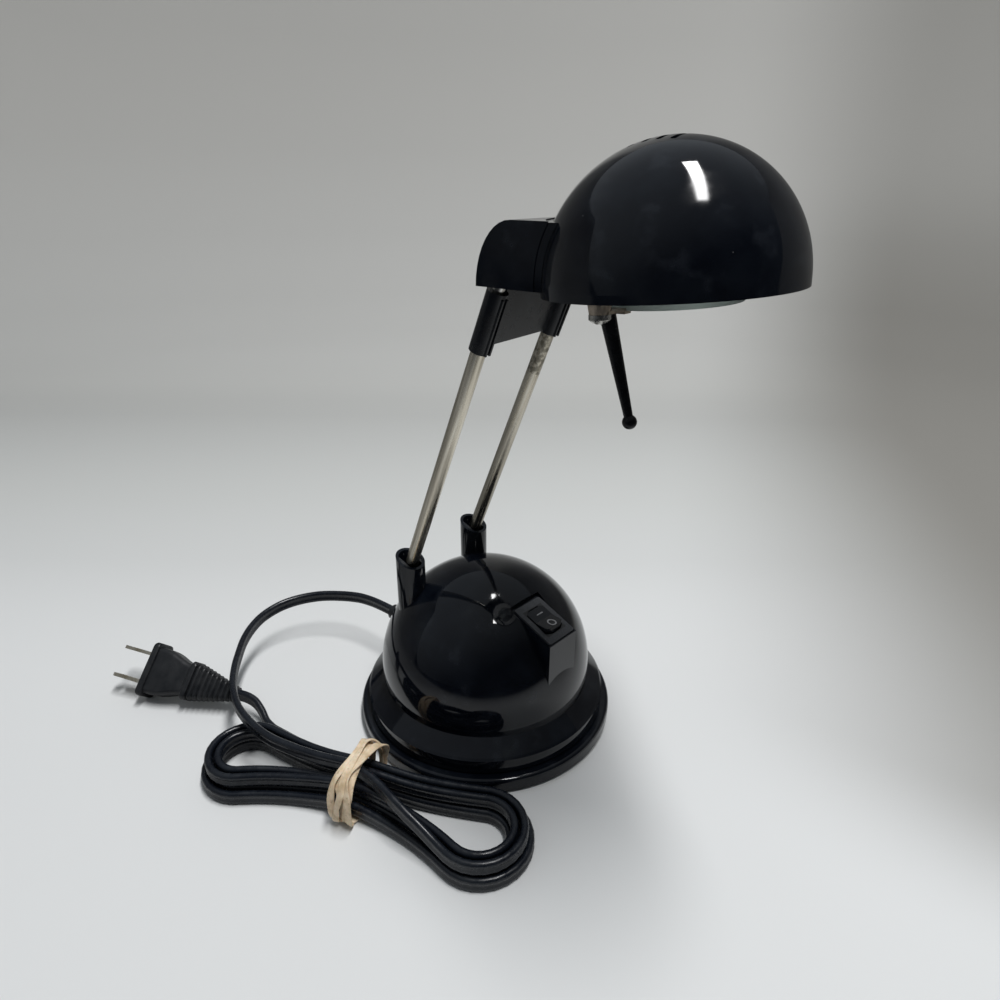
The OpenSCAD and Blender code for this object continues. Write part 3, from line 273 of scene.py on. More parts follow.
def tint(mat, factor, stops):
    """Colours by the factor; each stop is (place, colour)."""
    tree = mat.node_tree
    ramp = tree.nodes.new("ShaderNodeValToRGB")
    band = ramp.color_ramp
    band.elements[0].position, band.elements[0].color = stops[0][0], (*stops[0][1], 1)
    band.elements[1].position, band.elements[1].color = stops[-1][0], (*stops[-1][1], 1)
    for spot, colour in stops[1:-1]:
        band.elements.new(spot).color = (*colour, 1)
    tree.links.new(factor, ramp.inputs["Fac"])
    tree.links.new(ramp.outputs["Color"], tree.nodes["Principled BSDF"].inputs["Base Color"])


def overlay(mat, factor, colour):
    """Puts a colour over what is there, where the factor is 1."""
    tree = mat.node_tree
    socket = tree.nodes["Principled BSDF"].inputs["Base Color"]
    mix = tree.nodes.new("ShaderNodeMix")
    mix.data_type = "RGBA"
    mix.inputs["A"].default_value = socket.default_value
    if socket.is_linked:
        tree.links.new(socket.links[0].from_socket, mix.inputs["A"])
    mix.inputs["B"].default_value = (*colour, 1)
    tree.links.new(factor, mix.inputs["Factor"])
    tree.links.new(mix.outputs["Result"], socket)


def spread(mat, factor, low, high, start=0.3, end=0.7):
    """Maps the factor's span from start to end onto the span from low to high."""
    tree = mat.node_tree
    span = tree.nodes.new("ShaderNodeMapRange")
    span.interpolation_type = "SMOOTHSTEP"
    ends = (("From Min", start), ("From Max", end), ("To Min", low), ("To Max", high))
    for socket, value in ends:
        span.inputs[socket].default_value = value
    tree.links.new(factor, span.inputs["Value"])
    return span.outputs["Result"]


def dull(mat, factor, low, high, start=0.3, end=0.7):
    """Roughness that goes from low to high with the factor."""
    mat.node_tree.links.new(spread(mat, factor, low, high, start, end),
                            mat.node_tree.nodes["Principled BSDF"].inputs["Roughness"])


def relief(mat, factor, depth, strength=1.0):
    """Bump of the given depth in millimetres, on top of any bump already there."""
    tree = mat.node_tree
    normal = tree.nodes["Principled BSDF"].inputs["Normal"]
    bump = tree.nodes.new("ShaderNodeBump")
    bump.inputs["Distance"].default_value = depth * MM
    bump.inputs["Strength"].default_value = strength
    tree.links.new(factor, bump.inputs["Height"])
    if normal.is_linked:
        tree.links.new(normal.links[0].from_socket, bump.inputs["Normal"])
    tree.links.new(bump.outputs["Normal"], normal)


vinyl = finish("lead_vinyl", (0.008, 0.009, 0.012), 0.3, specular=0.4)
tint(vinyl, grain(vinyl, 9, 4),
     [(0.35, (0.0045, 0.0062, 0.0105)), (0.6, (0.008, 0.0105, 0.0155)),
      (0.8, (0.016, 0.019, 0.023))])
overlay(vinyl, specks(vinyl, 5, 0.12), (0.07, 0.07, 0.068))
dull(vinyl, grain(vinyl, 2.5, 5), 0.2, 0.38)
relief(vinyl, grain(vinyl, 0.4, 2), 0.02, 0.3)
lead.data.materials.append(vinyl)

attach(lead, "base")
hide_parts("power_lead", "lead_hank", "plug_lead")

# ---- Rubber band -----------------------------------------------------------
# One band of natural rubber, wound five times round the hank's waist. The
# strip is flat, twists on its way and crosses itself. All in millimetres.

band_turns = 5
band_steps = 60
band_reach = 2.9
band_w = 2.7
band_t = 0.75
swell, ripple = 0.85, 0.12
wander, quiver = 1.15, 0.35
quick_twist, slow_twist = math.radians(34), math.radians(20)
band_low = 0.05 + band_t / 2
band_high = lead_ground + waist_lift + 2 * layer_h + lead_w / 2 + 0.7
band_half = waist + lead_t / 2 + 0.9


def band_point(step):
    """Point of the band's middle line, and the turn of its strip there."""
    a = 2 * math.pi * step / band_steps
    b = a / band_turns
    out = swell * (1 + math.sin(b)) + ripple * math.sin(3.1 * a)
    c, s = math.cos(a), math.sin(a)
    flat = 0.4 if s < 0 else 0.75
    rise = 0.4 if s < 0 else 0.9
    u = (band_half + out) * math.copysign(abs(c) ** flat, c)
    z = (band_low + band_high) / 2 + ((band_high - band_low) / 2
                                      + (out if s > 0 else 0)) * math.copysign(abs(s) ** rise, s)
    v = band_reach * math.cos(b) + wander * math.sin(2 * a + 1.7 * b) + quiver * math.sin(5 * a)
    spot = hank_mid + hank_across * u + hank_along * v
    twist = quick_twist * math.sin(3 * a + 2.2 * b + 0.6) + slow_twist * math.sin(2 * b)
    return Vector((spot.x, spot.y, z)), twist * (0.25 + 0.75 * ease((s + 0.5) / 0.8))


band_points = [band_point(k) for k in range(band_turns * band_steps)]
band_section = [(band_w / 2 * x, band_t / 2 * y) for x, y in
                ((-1, -0.45), (-0.8, -0.9), (0, -1), (0.8, -0.9), (1, -0.45),
                 (1, 0.45), (0.8, 0.9), (0, 1), (-0.8, 0.9), (-1, 0.45))]
band_rings = []
for k, (spot, twist) in enumerate(band_points):
    way = (band_points[(k + 1) % len(band_points)][0] - band_points[k - 1][0]).normalized()
    out_dir = way.cross(Vector((hank_along.x, hank_along.y, 0))).normalized()
    wide = out_dir.cross(way)
    turned = Matrix.Rotation(twist, 3, way)
    band_rings.append([spot + turned @ (wide * x + out_dir * y) for x, y in band_section])


def skin_over(name, rings, closed):
    """A smooth object over a row of rings in millimetres, joined end to end or capped."""
    mesh = bpy.data.meshes.new(name)
    bm = bmesh.new()
    rims = []
    for ring in rings:
        around = [bm.verts.new(point * MM) for point in ring]
        rims.append([bm.edges.new((around[k - 1], around[k])) for k in range(len(around))])
    for near, far in zip(rims, rims[1:] + rims[:1] if closed else rims[1:]):
        bmesh.ops.bridge_loops(bm, edges=near + far)
    if not closed:
        for rim in (rims[0], rims[-1]):
            bmesh.ops.contextual_create(bm, geom=rim)
    bmesh.ops.recalc_face_normals(bm, faces=bm.faces)
    for face in bm.faces:
        face.smooth = True
    bm.to_mesh(mesh)
    bm.free()
    skin = bpy.data.objects.new(name, mesh)
    scene.collection.objects.link(skin)
    return skin


rubber_strip = skin_over("rubber_strip", band_rings, closed=True)

rubber = finish("band_rubber", (0.7, 0.55, 0.38), 0.55, specular=0.3)
tint(rubber, grain(rubber, 4, 5),
     [(0.3, (0.5, 0.37, 0.22)), (0.5, (0.7, 0.56, 0.39)), (0.7, (0.82, 0.69, 0.52))])
overlay(rubber, spread(rubber, grain(rubber, 1.3, 5), 0, 0.55, 0.56, 0.72), (0.36, 0.25, 0.14))
relief(rubber, grain(rubber, 0.7, 3), 0.12, 0.5)
relief(rubber, grain(rubber, 3, 2), 0.5, 0.4)
rubber_shader = rubber.node_tree.nodes["Principled BSDF"]
rubber_shader.inputs["Subsurface Weight"].default_value = 0.08
rubber_shader.inputs["Subsurface Scale"].default_value = 0.001
rubber_strip.data.materials.append(rubber)
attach(rubber_strip, "base")
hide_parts("rubber_band")

# ---- Plug ------------------------------------------------------------------
# Moulded vinyl plug with a waisted body and a ribbed sleeve, one piece with the
# end of the lead, and two flat nickelled brass blades, scratched from use. It is
# drawn in rings from its face back, in millimetres.

plug_frame = (Matrix.Translation(plug_face) @ Matrix.Rotation(plug_yaw, 4, "Z")
              @ Matrix.Rotation(math.radians(90) - plug_pitch, 4, "Y")
              @ Matrix.Rotation(math.radians(270) - plug_roll, 4, "Z"))
ring_points = 40
corner_share, corner_most = 0.36, 2.2
sleeve_start = 24.6
rib_count = 9
rib_pitch = 2.35
first_rib_w, rib_w_fall = 15.8, 8.7
first_rib_t, rib_t_fall = 8.9, 4.1
groove_flatness = 0.7
sharp_from = math.radians(52)
# depth along a rib, and how much narrower it is there
rib_profile = ((0.0, 2.0), (0.35, 0.5), (0.75, 0.0), (1.2, 0.0), (1.6, 0.5), (1.95, 2.0))
# depth behind the face, width, thickness: plate, body with its waist, collar
plug_outline = [(0.0, 22.6, 9.7), (0.3, 23.6, 10.7), (0.8, 24.0, 11.0), (2.5, 24.0, 11.0),
                (3.0, 23.7, 10.7), (3.2, 23.0, 10.2), (3.25, 20.9, 9.3), (6.0, 20.8, 9.5),
                (9.0, 20.2, 9.6), (12.0, 18.8, 9.5), (15.0, 16.7, 9.1), (18.0, 14.8, 8.6),
                (20.4, 13.8, 8.3), (21.2, 13.8, 8.3), (21.5, 16.0, 8.8), (21.9, 16.9, 9.3),
                (23.4, 16.8, 9.2), (23.9, 16.2, 8.8), (24.0, 13.6, 7.2)]
for rib in range(rib_count):
    near_lead = rib / (rib_count - 1)
    rib_w = first_rib_w - rib_w_fall * near_lead
    rib_t = first_rib_t - rib_t_fall * near_lead
    for step, less in rib_profile:
        plug_outline.append((sleeve_start + rib * rib_pitch + step,
                             rib_w - less, rib_t - groove_flatness * less))
plug_outline.append((plug_len, 6.2, 3.9))

plug_rings = []
for depth, wide, thick in plug_outline:
    corner = min(corner_share * thick, corner_most)
    ring = []
    for k in range(ring_points):
        a = 2 * math.pi * (k + 0.5) / ring_points
        x = math.copysign(wide / 2 - corner, math.cos(a)) + corner * math.cos(a)
        y = math.copysign(thick / 2 - corner, math.sin(a)) + corner * math.sin(a)
        ring.append(plug_frame @ Vector((x, y, -depth)))
    plug_rings.append(ring)
plug_moulding = skin_over("plug_moulding", plug_rings, closed=False)
plug_moulding.data.set_sharp_from_angle(angle=sharp_from)


def dress(mat, *names):
    """These CAD nodes wear the material."""
    for name in names:
        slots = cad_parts[name].data.materials
        slots.clear()
        slots.append(mat)


plug_vinyl = finish("plug_vinyl", (0.009, 0.01, 0.012), 0.4, specular=0.4)
tint(plug_vinyl, grain(plug_vinyl, 7, 4),
     [(0.35, (0.007, 0.008, 0.01)), (0.75, (0.022, 0.023, 0.025))])
dull(plug_vinyl, grain(plug_vinyl, 2, 5), 0.3, 0.5)
relief(plug_vinyl, grain(plug_vinyl, 0.3, 2), 0.02, 0.4)
dress(plug_vinyl, "lead_bush")
plug_moulding.data.materials.append(plug_vinyl)
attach(plug_moulding, "base")
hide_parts("plug_body")

blade_nickel = finish("blade_nickel", (0.62, 0.57, 0.47), 0.28, metallic=1.0)
tint(blade_nickel, grain(blade_nickel, 4, 5),
     [(0.35, (0.42, 0.36, 0.26)), (0.65, (0.7, 0.66, 0.57))])
dull(blade_nickel, grain(blade_nickel, 1.5, 5), 0.18, 0.42)
relief(blade_nickel, grain(blade_nickel, 0.25, 3, (1, 6, 1)), 0.02, 0.35)
dress(blade_nickel, "plug_blades")

# ---- Base ------------------------------------------------------------------
# Two mouldings in polished black plastic: the domed shell with its posts and
# switch housing, and the ring under it. The gloss carries faint scuffs and
# dust, more of it low down. A foam pad and four screws are underneath.


def moulded_gloss(name, shine, scuffed, speck_spacing):
    """Polished black plastic: slow waves in the skin, hazy patches, fine scuffs and dust."""
    mat = finish(name, (0.003, 0.0042, 0.007), shine, specular=0.38)
    tint(mat, grain(mat, 11, 6),
         [(0.4, (0.0022, 0.0032, 0.006)), (0.6, (0.0046, 0.0062, 0.0098)),
          (0.75, (0.009, 0.011, 0.014))])
    overlay(mat, spread(mat, grain(mat, 8, 6), 0, 0.5, 0.55, 0.72), (0.016, 0.019, 0.025))
    overlay(mat, specks(mat, speck_spacing, 0.13), (0.12, 0.12, 0.12))
    dull(mat, grain(mat, 9, 6), shine, scuffed, 0.42, 0.78)
    relief(mat, grain(mat, 30, 1), 0.12, 0.12)
    relief(mat, grain(mat, 1.4, 6), 0.006, 0.18)
    return mat


shell_gloss = moulded_gloss("shell_gloss", 0.045, 0.13, 5)
dress(shell_gloss, "base_shell")
ring_gloss = moulded_gloss("ring_gloss", 0.07, 0.2, 3)
dress(ring_gloss, "base_ring")

foam = finish("pad_foam", (0.02, 0.02, 0.022), 0.85)
relief(foam, grain(foam, 0.5, 2), 0.25, 0.8)
tint(foam, grain(foam, 0.8, 3), [(0.4, (0.012, 0.012, 0.014)), (0.6, (0.035, 0.035, 0.038))])
dress(foam, "base_pad")

zinc = finish("zinc_steel", (0.55, 0.56, 0.58), 0.34, metallic=1.0)
tint(zinc, grain(zinc, 3, 4), [(0.3, (0.42, 0.43, 0.45)), (0.7, (0.63, 0.63, 0.64))])
dull(zinc, grain(zinc, 1.2, 5), 0.26, 0.46)
dress(zinc, "base_screws", "strap_screws", "transformer_strap", "head_screws", "socket_bracket")

# ---- Transformer -----------------------------------------------------------
# The 12 V supply under the dome, and the lamp's weight: a laminated iron core,
# a nylon bobbin with its taped copper winding, and the strap that holds them.

sheet_scale = 330
wrap_scale = 40

iron = finish("core_iron", (0.1, 0.09, 0.1), 0.5, metallic=0.7)
sheets = iron.node_tree.nodes.new("ShaderNodeTexWave")
sheets.bands_direction = "Y"
sheets.inputs["Scale"].default_value = sheet_scale
iron.node_tree.links.new(place(iron), sheets.inputs["Vector"])
relief(iron, sheets.outputs["Fac"], 0.15, 0.6)
tint(iron, grain(iron, 6, 4),
     [(0.35, (0.05, 0.045, 0.055)), (0.65, (0.13, 0.11, 0.11)), (0.8, (0.16, 0.09, 0.05))])
dress(iron, "transformer_core")

nylon = finish("bobbin_nylon", (0.74, 0.7, 0.58), 0.45)
tint(nylon, grain(nylon, 12, 3), [(0.3, (0.7, 0.66, 0.53)), (0.7, (0.8, 0.77, 0.67))])
relief(nylon, grain(nylon, 0.5, 2), 0.03, 0.3)
dress(nylon, "transformer_bobbin")

tape = finish("winding_tape", (0.62, 0.42, 0.08), 0.35)
wraps = tape.node_tree.nodes.new("ShaderNodeTexWave")
wraps.bands_direction = "Z"
wraps.inputs["Scale"].default_value = wrap_scale
wraps.inputs["Distortion"].default_value = 1.5
tape.node_tree.links.new(place(tape), wraps.inputs["Vector"])
tint(tape, wraps.outputs["Fac"], [(0.1, (0.42, 0.26, 0.04)), (0.5, (0.64, 0.44, 0.09))])
relief(tape, wraps.outputs["Fac"], 0.1, 0.5)
dress(tape, "transformer_winding")

# ---- Switch ----------------------------------------------------------------
# A rocker switch snapped into the housing's sloping top: a fine-grained satin
# frame, with painted shade in a dark band round the rocker's opening, and a
# smoother rocker with the printed marks I, pressed in, and O.
# The marks are placed in the switch's own frame, in millimetres.

switch_turn = math.radians(-7)
switch_slope = math.radians(19)
slope_len = 21.3
slope_front = 42.6
slope_foot = 54.6
switch_mid = Vector((0, -(slope_front - slope_len / 2 * math.cos(switch_slope)),
                     slope_foot + slope_len / 2 * math.sin(switch_slope)))
opening_w = 9.7
opening_len = 13.3
# width of the painted shade band round the rocker's opening
gap_shade_w = 0.45
mark_line = 0.5
mark_off = 3.1
mark_side = 0.5
mark_bar = 3.2
mark_ring = 1.42
mark_tall = 1.16
mark_floor = -0.6

grained = finish("switch_satin", (0.03, 0.033, 0.04), 0.42)
tint(grained, grain(grained, 0.6, 3),
     [(0.35, (0.022, 0.025, 0.031)), (0.7, (0.05, 0.054, 0.062))])
relief(grained, grain(grained, 0.22, 2), 0.05, 0.5)
dull(grained, grain(grained, 3, 4), 0.36, 0.5)

printed = finish("rocker_satin", (0.005, 0.006, 0.009), 0.26, specular=0.35)
tint(printed, grain(printed, 4, 4),
     [(0.35, (0.0035, 0.0045, 0.0075)), (0.7, (0.008, 0.009, 0.012))])
relief(printed, grain(printed, 0.3, 2), 0.02, 0.3)
about_z = Matrix.Rotation(switch_turn, 3, "Z")
about_x = Matrix.Rotation(switch_slope, 3, "X")
switch_axes = about_z @ about_x


def measured(owner, direction, coordinate="Object"):
    """How far a texture coordinate lies along a direction; the object's own is in metres."""
    tree = owner.node_tree
    own = tree.nodes.new("ShaderNodeTexCoord")
    dot = tree.nodes.new("ShaderNodeVectorMath")
    dot.operation = "DOT_PRODUCT"
    dot.inputs[1].default_value = direction
    tree.links.new(own.outputs[coordinate], dot.inputs[0])
    return dot.outputs["Value"]


def switch_coordinate(mat, axis, at):
    """Distance in millimetres from the given place, measured along one axis of the switch."""
    direction = switch_axes.col[axis]
    return math_step(mat, "SUBTRACT", measured(mat, direction / MM),
                     direction.dot(about_z @ switch_mid) + at)


def within(mat, value, half):
    """1 where the value is less than half from 0."""
    return math_step(mat, "LESS_THAN", math_step(mat, "ABSOLUTE", value), half)


# painted shade: a dark band round the rocker's opening stands for the shadow in the gap
gap_shade = math_step(grained, "MULTIPLY",
                within(grained, switch_coordinate(grained, 0, 0), opening_w / 2 + gap_shade_w),
                within(grained, switch_coordinate(grained, 1, 0), opening_len / 2 + gap_shade_w))
overlay(grained, gap_shade, (0.004, 0.005, 0.007))
dress(grained, "switch_frame")

bar = math_step(printed, "MULTIPLY",
                within(printed, switch_coordinate(printed, 0, mark_side), mark_bar / 2),
                within(printed, switch_coordinate(printed, 1, mark_off), mark_line / 2))
ring_x = switch_coordinate(printed, 0, mark_side)
ring_y = math_step(printed, "DIVIDE", switch_coordinate(printed, 1, -mark_off), mark_tall)
ring_far = math_step(printed, "SQRT", math_step(
    printed, "ADD", math_step(printed, "MULTIPLY", ring_x, ring_x),
    math_step(printed, "MULTIPLY", ring_y, ring_y)))
ring_mark = within(printed, math_step(printed, "SUBTRACT", ring_far, mark_ring), mark_line / 2)
upper = math_step(printed, "GREATER_THAN", switch_coordinate(printed, 2, 0), mark_floor)
both_marks = math_step(printed, "ADD", bar, ring_mark, clamp=True)
marks = math_step(printed, "MULTIPLY", both_marks, upper)
mark_wear = spread(printed, grain(printed, 0.5, 3), 0.7, 1)
overlay(printed, math_step(printed, "MULTIPLY", marks, mark_wear), (0.42, 0.42, 0.43))
dress(printed, "switch_rocker")

tinned = finish("terminal_brass", (0.68, 0.55, 0.3), 0.3, metallic=1.0)
tint(tinned, grain(tinned, 2, 4), [(0.35, (0.5, 0.4, 0.22)), (0.7, (0.74, 0.68, 0.52))])
dress(tinned, "switch_terminals")

# ---- Post inserts and arm pivots -------------------------------------------
# A forked insert in each post cup holds a steel pin. The tube's knuckle, a
# pressed-in chromed plug, turns on it with the friction that holds the arms.

insert_black = finish("insert_black", (0.009, 0.01, 0.012), 0.24)
dull(insert_black, grain(insert_black, 2, 4), 0.18, 0.4)
relief(insert_black, grain(insert_black, 0.5, 3), 0.03, 0.3)
dress(insert_black, "post_insert_left", "post_insert_right")

pin_steel = finish("pin_steel", (0.58, 0.57, 0.55), 0.22, metallic=1.0)
dull(pin_steel, grain(pin_steel, 1.5, 4), 0.16, 0.4)
tint(pin_steel, grain(pin_steel, 2, 4), [(0.35, (0.44, 0.43, 0.41)), (0.7, (0.64, 0.63, 0.61))])
dress(pin_steel, "arm_pins", "head_pins")

# ---- Arms ------------------------------------------------------------------
# Two plated tubes on the knuckles; a rod with an eye slides in each. The
# plating is worn: streaky along both and rubbed dark under the right tube's
# sleeve. A painted dark reflection darkens both low down, most the right tube.

arm_lean = 21.4
patch_at = Vector((20.5, -13.8, 164.3))
up_arm = Vector((0, -math.sin(math.radians(arm_lean)), math.cos(math.radians(arm_lean))))
patch_foot = (-15, -14)
patch_head = (3, 5)
ragged_by = 5
dark_reflection_span = (-95, -5)

worn = finish("tube_plating", (0.56, 0.51, 0.43), 0.24, metallic=1.0)
tint(worn, grain(worn, 1.1, 4, (1, 1, 30), arm_lean),
     [(0.3, (0.45, 0.41, 0.33)), (0.5, (0.64, 0.59, 0.49)), (0.72, (0.8, 0.76, 0.66))])
overlay(worn, spread(worn, grain(worn, 5, 5, (1, 1, 3), arm_lean), 0, 0.5, 0.55, 0.75),
        (0.3, 0.26, 0.2))
up_tube = math_step(worn, "SUBTRACT", measured(worn, up_arm / MM), up_arm.dot(patch_at))
ragged = math_step(worn, "ADD", up_tube,
                   math_step(worn, "MULTIPLY", grain(worn, 2.4, 4), ragged_by))
across = measured(worn, (1, 0, 0))
patch = math_step(worn, "MULTIPLY", spread(worn, ragged, 0, 1, *patch_foot),
                  spread(worn, ragged, 1, 0, *patch_head))
patch = math_step(worn, "MULTIPLY", patch, math_step(worn, "GREATER_THAN", across, 0))
patch = math_step(worn, "MULTIPLY", patch, spread(worn, grain(worn, 1.6, 5), 0.15, 1, 0.38, 0.6))
overlay(worn, patch, (0.22, 0.205, 0.165))
# painted reflection: the plating darkens low down, most on the right tube, for the dim room it
# mirrors
dark_reflection = math_step(worn, "MULTIPLY", spread(worn, ragged, 0.8, 0.12, *dark_reflection_span),
                    spread(worn, across, 0.1, 1, -0.01, 0.01))
overlay(worn, dark_reflection, (0.2, 0.185, 0.15))
dull(worn, grain(worn, 3, 5, (1, 1, 8), arm_lean), 0.2, 0.36)
relief(worn, grain(worn, 0.35, 3, (1, 1, 40), arm_lean), 0.006, 0.4)
dress(worn, "arm_tube_left", "arm_tube_right")

plated = finish("rod_chrome", (0.62, 0.6, 0.57), 0.14, metallic=1.0)
tint(plated, grain(plated, 2, 4, (1, 1, 10), arm_lean),
     [(0.35, (0.5, 0.48, 0.44)), (0.7, (0.7, 0.69, 0.66))])
dull(plated, grain(plated, 2, 5), 0.1, 0.26)
dress(plated, "arm_knuckle_left", "arm_knuckle_right", "arm_rod_left", "arm_rod_right")

# ---- Bracket ---------------------------------------------------------------
# One moulding in half-gloss black: a bare plate between two slit sleeves that
# hug the tubes and grip them as the arms slide. The plate has a fine grain.

half_gloss = finish("bracket_half_gloss", (0.005, 0.0065, 0.009), 0.2, specular=0.36)
tint(half_gloss, grain(half_gloss, 14, 4),
     [(0.35, (0.0035, 0.0045, 0.0065)), (0.7, (0.0085, 0.01, 0.013))])
dull(half_gloss, grain(half_gloss, 5, 6), 0.17, 0.34, 0.4, 0.75)
relief(half_gloss, grain(half_gloss, 0.5, 2), 0.015, 0.25)
overlay(half_gloss, specks(half_gloss, 3.5, 0.12), (0.1, 0.1, 0.1))
dress(half_gloss, "arm_bracket")

# ---- Shade and head block --------------------------------------------------
# The shade is a polished black dome with five vent slots. The hollow block
# behind it, in the same gloss, hangs on the two head pins.

shade_gloss = moulded_gloss("shade_gloss", 0.05, 0.14, 6)
dress(shade_gloss, "shade")
block_gloss = moulded_gloss("block_gloss", 0.1, 0.22, 4)
dress(block_gloss, "head_block")

# ---- Lamp ------------------------------------------------------------------
# A bright pressed reflector, a ceramic holder on a steel foot, and a quartz
# capsule that stands on two steel pins.

mirror = finish("reflector_bright", (0.84, 0.84, 0.85), 0.16, metallic=1.0)
dull(mirror, grain(mirror, 4, 4), 0.1, 0.24)
relief(mirror, grain(mirror, 1.6, 2), 0.08, 0.35)
dress(mirror, "reflector")

steatite = finish("socket_ceramic", (0.8, 0.77, 0.69), 0.6)
tint(steatite, grain(steatite, 3, 4), [(0.35, (0.76, 0.72, 0.62)), (0.7, (0.84, 0.82, 0.75))])
relief(steatite, grain(steatite, 0.3, 3), 0.06, 0.5)
dress(steatite, "lamp_socket")

quartz = finish("bulb_quartz", (0.96, 0.97, 0.98), 0.03)
quartz.node_tree.nodes["Principled BSDF"].inputs["Transmission Weight"].default_value = 1.0
dull(quartz, grain(quartz, 5, 3), 0.01, 0.06)
dress(quartz, "halogen_bulb")
dress(pin_steel, "bulb_pins")

# ---- Cover glass -----------------------------------------------------------
# A round of 2 mm float glass with a ground, greenish edge. Each spring clip is
# dull brown steel under a nickelled screw, with a tongue beneath the glass.

glass_tilt = math.radians(5)

float_glass = finish("cover_glass", (0.86, 0.94, 0.92), 0.03)
float_glass.node_tree.nodes["Principled BSDF"].inputs["Transmission Weight"].default_value = 0.92
edge_place = float_glass.node_tree.nodes.new("ShaderNodeNewGeometry")
upward = float_glass.node_tree.nodes.new("ShaderNodeVectorMath")
upward.operation = "DOT_PRODUCT"
upward.inputs[1].default_value = (0, -math.sin(glass_tilt), math.cos(glass_tilt))
float_glass.node_tree.links.new(edge_place.outputs["Normal"], upward.inputs[0])
on_face = math_step(float_glass, "ABSOLUTE", upward.outputs["Value"])
tint(float_glass, on_face, [(0.3, (0.42, 0.5, 0.47)), (0.8, (0.93, 0.97, 0.96))])
dull(float_glass, on_face, 0.42, 0.02, 0.3, 0.8)
dress(float_glass, "cover_glass")

spring_steel = finish("clip_steel", (0.42, 0.36, 0.27), 0.38, metallic=1.0)
tint(spring_steel, grain(spring_steel, 3, 5),
     [(0.32, (0.3, 0.25, 0.2)), (0.55, (0.58, 0.5, 0.41)), (0.75, (0.74, 0.64, 0.5))])
dull(spring_steel, grain(spring_steel, 1.5, 5), 0.3, 0.55)
dress(spring_steel, "glass_clips")

nickel = finish("screw_nickel", (0.55, 0.54, 0.51), 0.28, metallic=1.0)
tint(nickel, grain(nickel, 2, 5), [(0.32, (0.38, 0.37, 0.34)), (0.7, (0.64, 0.63, 0.6))])
dull(nickel, grain(nickel, 0.8, 5), 0.2, 0.45)
dress(nickel, "clip_screws")

# ---- Handle ----------------------------------------------------------------
# A tapered black plastic finger grip with a ball at its end. Its root sits
# under the near clip, and its stud goes through the clip and the flange.

grip = finish("handle_black", (0.003, 0.0035, 0.005), 0.24, specular=0.22)
tint(grip, grain(grip, 5, 4), [(0.35, (0.002, 0.0024, 0.0036)), (0.7, (0.005, 0.0056, 0.007))])
dull(grip, grain(grip, 2, 5), 0.18, 0.34)
relief(grip, grain(grip, 0.4, 2), 0.01, 0.3)
dress(grip, "shade_handle")

# ---- Floor and light -------------------------------------------------------
# Pale paper that rises behind the lamp, with painted shade: its colour is darker
# far off and at the right, as the light there is. A long ceiling lamp gives the
# streak on both domes. The room is dim on the camera's side, so what the gloss mirrors there is
# dark.

paper_profile = [(0.0, 0.0), (0.3, 0.0), (0.6, 0.0), (0.85, 0.0), (1.05, 0.03), (1.22, 0.12),
                 (1.36, 0.27), (1.46, 0.48), (1.5, 0.75), (1.5, 1.3)]
paper_steps = 96
rise_from = 0.9
rise_turn = 0.35
rise_width = 0.6
behind = Vector((math.sin(math.radians(-camera_yaw)), math.cos(math.radians(camera_yaw)), 0))
leftward = Vector((-behind.y, behind.x, 0))

floor_mesh = bpy.data.meshes.new("floor")
bm = bmesh.new()
verts = [bm.verts.new((x, 0, z)) for x, z in paper_profile]
edges = [bm.edges.new(pair) for pair in zip(verts, verts[1:])]
bmesh.ops.spin(bm, geom=verts + edges, cent=(0, 0, 0), axis=(0, 0, 1), angle=math.radians(360),
               steps=paper_steps, use_merge=True)
bmesh.ops.remove_doubles(bm, verts=bm.verts, dist=1e-5)
bmesh.ops.recalc_face_normals(bm, faces=bm.faces)
for v in bm.verts:
    flat = Vector((v.co.x, v.co.y, 0))
    if flat.length > rise_from:
        v.co.z *= ease((flat.normalized().dot(behind) + rise_turn) / rise_width)
for f in bm.faces:
    f.smooth = True
bm.to_mesh(floor_mesh)
bm.free()
floor = bpy.data.objects.new("floor", floor_mesh)
scene.collection.objects.link(floor)

paper = finish("backdrop_paper", (0.88, 0.885, 0.875), 0.8, specular=0.2)
far_back = measured(paper, behind)
far_left = measured(paper, leftward)
far_up = measured(paper, (0, 0, 1))
# painted light: the paper's colour falls and rises again with distance behind the lamp, and the
# rising wall gets its own painted shade
tint(paper, spread(paper, far_back, 0, 1, 0.0, 1.2),
     [(0.0, (0.71, 0.72, 0.722)), (0.03, (0.63, 0.64, 0.637)), (0.085, (0.59, 0.6, 0.59)),
      (0.19, (0.53, 0.538, 0.528)), (0.28, (0.492, 0.497, 0.486)), (0.34, (0.502, 0.506, 0.493)),
      (0.42, (0.538, 0.541, 0.526)), (0.6, (0.572, 0.574, 0.56)), (1.0, (0.61, 0.61, 0.595))])
overlay(paper, spread(paper, far_up, 0, 1, 0.0, 0.4), (0.6, 0.595, 0.575))
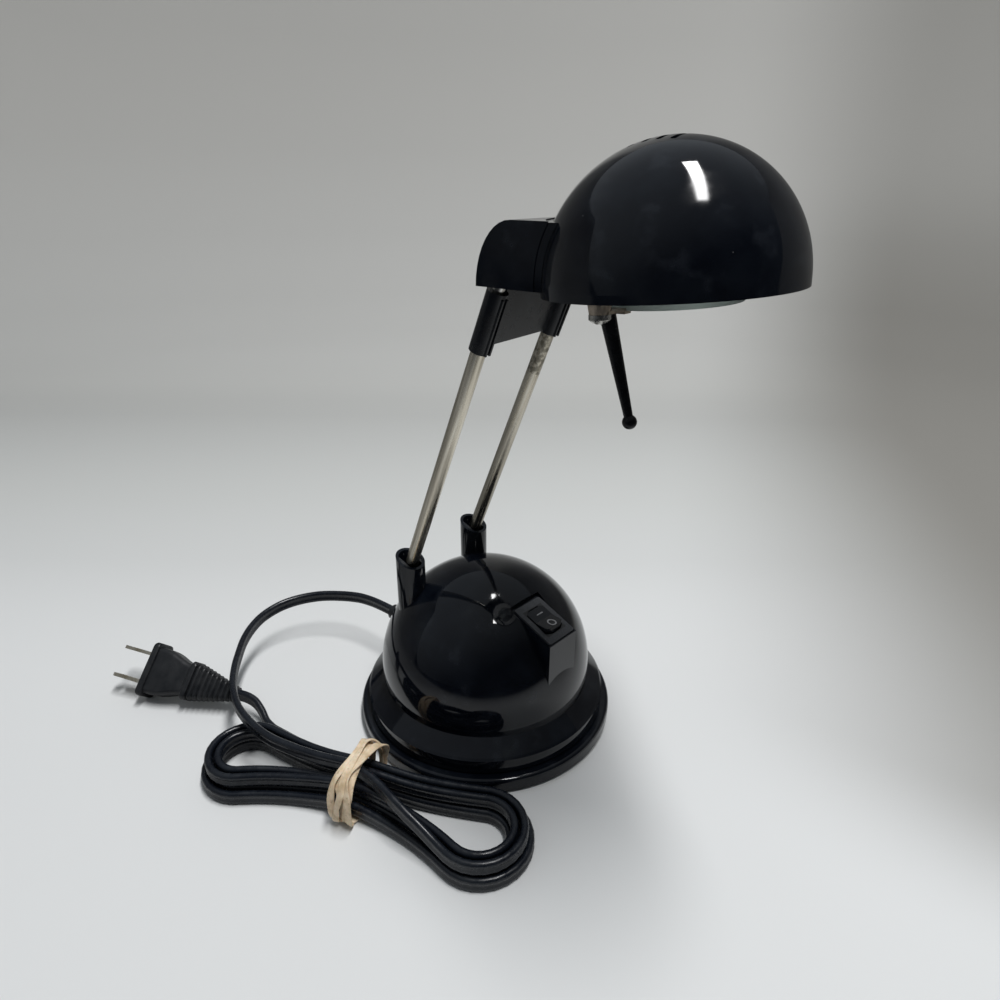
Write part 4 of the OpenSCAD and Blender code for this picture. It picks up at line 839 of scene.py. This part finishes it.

# painted shade on the right: it starts right of the lamp and fans out over the far paper
fan_from = 0.4
fan_growth = 0.75
right_of_lamp = (0.39, -0.92, 0)
beyond = math_step(paper, "MAXIMUM", math_step(paper, "SUBTRACT", far_back, fan_from), 0)
widening = math_step(paper, "ADD", math_step(paper, "MULTIPLY", beyond, fan_growth), 1)
fanned = math_step(paper, "DIVIDE", measured(paper, right_of_lamp), widening)
painted_right_shade = math_step(paper, "MULTIPLY", spread(paper, fanned, 0, 1, 0.06, 0.3),
                      spread(paper, measured(paper, (1, 0, 0)), 0, 1, 0.0, 0.08))
painted_right_shade = math_step(paper, "MULTIPLY", painted_right_shade, spread(paper, far_up, 1, 0.62, 0.0, 0.3))
overlay(paper, painted_right_shade, (0.25, 0.243, 0.226))

# what the gloss sees of the paper: the near part and the sides are dim
mirrored = paper.node_tree.nodes.new("ShaderNodeLightPath")
dim_part = math_step(paper, "MAXIMUM", spread(paper, far_back, 1, 0, -0.34, -0.08),
                     spread(paper, far_left, 0, 0.62, 0.02, 0.24))
dim_part = math_step(paper, "MAXIMUM", dim_part, spread(paper, far_left, 0.6, 0, -0.5, -0.1))
overlay(paper, math_step(paper, "MULTIPLY", mirrored.outputs["Is Glossy Ray"], dim_part),
        (0.012, 0.013, 0.016))
floor_mesh.materials.append(paper)

room_up = Vector((0.1, 0.62, 0.78))
room_dim, room_bright = 0.03, 0.34
room_seen = 0.6
room_cool = (0.88, 0.945, 1.0, 1)
room_pale = (0.93, 0.93, 0.92, 1)
world = bpy.data.worlds.new("room")
scene.world = world
world.use_nodes = True
tree = world.node_tree
back = tree.nodes["Background"]
seen = tree.nodes.new("ShaderNodeLightPath")
level = tree.nodes.new("ShaderNodeMix")
tree.links.new(seen.outputs["Is Camera Ray"], level.inputs["Factor"])
height = measured(world, room_up, "Generated")
tree.links.new(spread(world, height, room_dim, room_bright, -0.3, 0.95), level.inputs["A"])
level.inputs["B"].default_value = room_seen
tree.links.new(level.outputs["Result"], back.inputs["Strength"])
tone = tree.nodes.new("ShaderNodeMix")
tone.data_type = "RGBA"
tree.links.new(seen.outputs["Is Camera Ray"], tone.inputs["Factor"])
tone.inputs["A"].default_value = room_cool
tone.inputs["B"].default_value = room_pale
tree.links.new(tone.outputs["Result"], back.inputs["Color"])

strip_at = (0.115, -0.31, 1.72)
strip_turn = math.radians(43)
strip = bpy.data.lights.new("ceiling_strip", "AREA")
strip.shape = "RECTANGLE"
strip.size = 1.06
strip.size_y = 0.21
strip.energy = 26.0
strip_lamp = bpy.data.objects.new("ceiling_strip", strip)
strip_lamp.matrix_world = Matrix.Translation(strip_at) @ Matrix.Rotation(strip_turn, 4, "Z")
scene.collection.objects.link(strip_lamp)
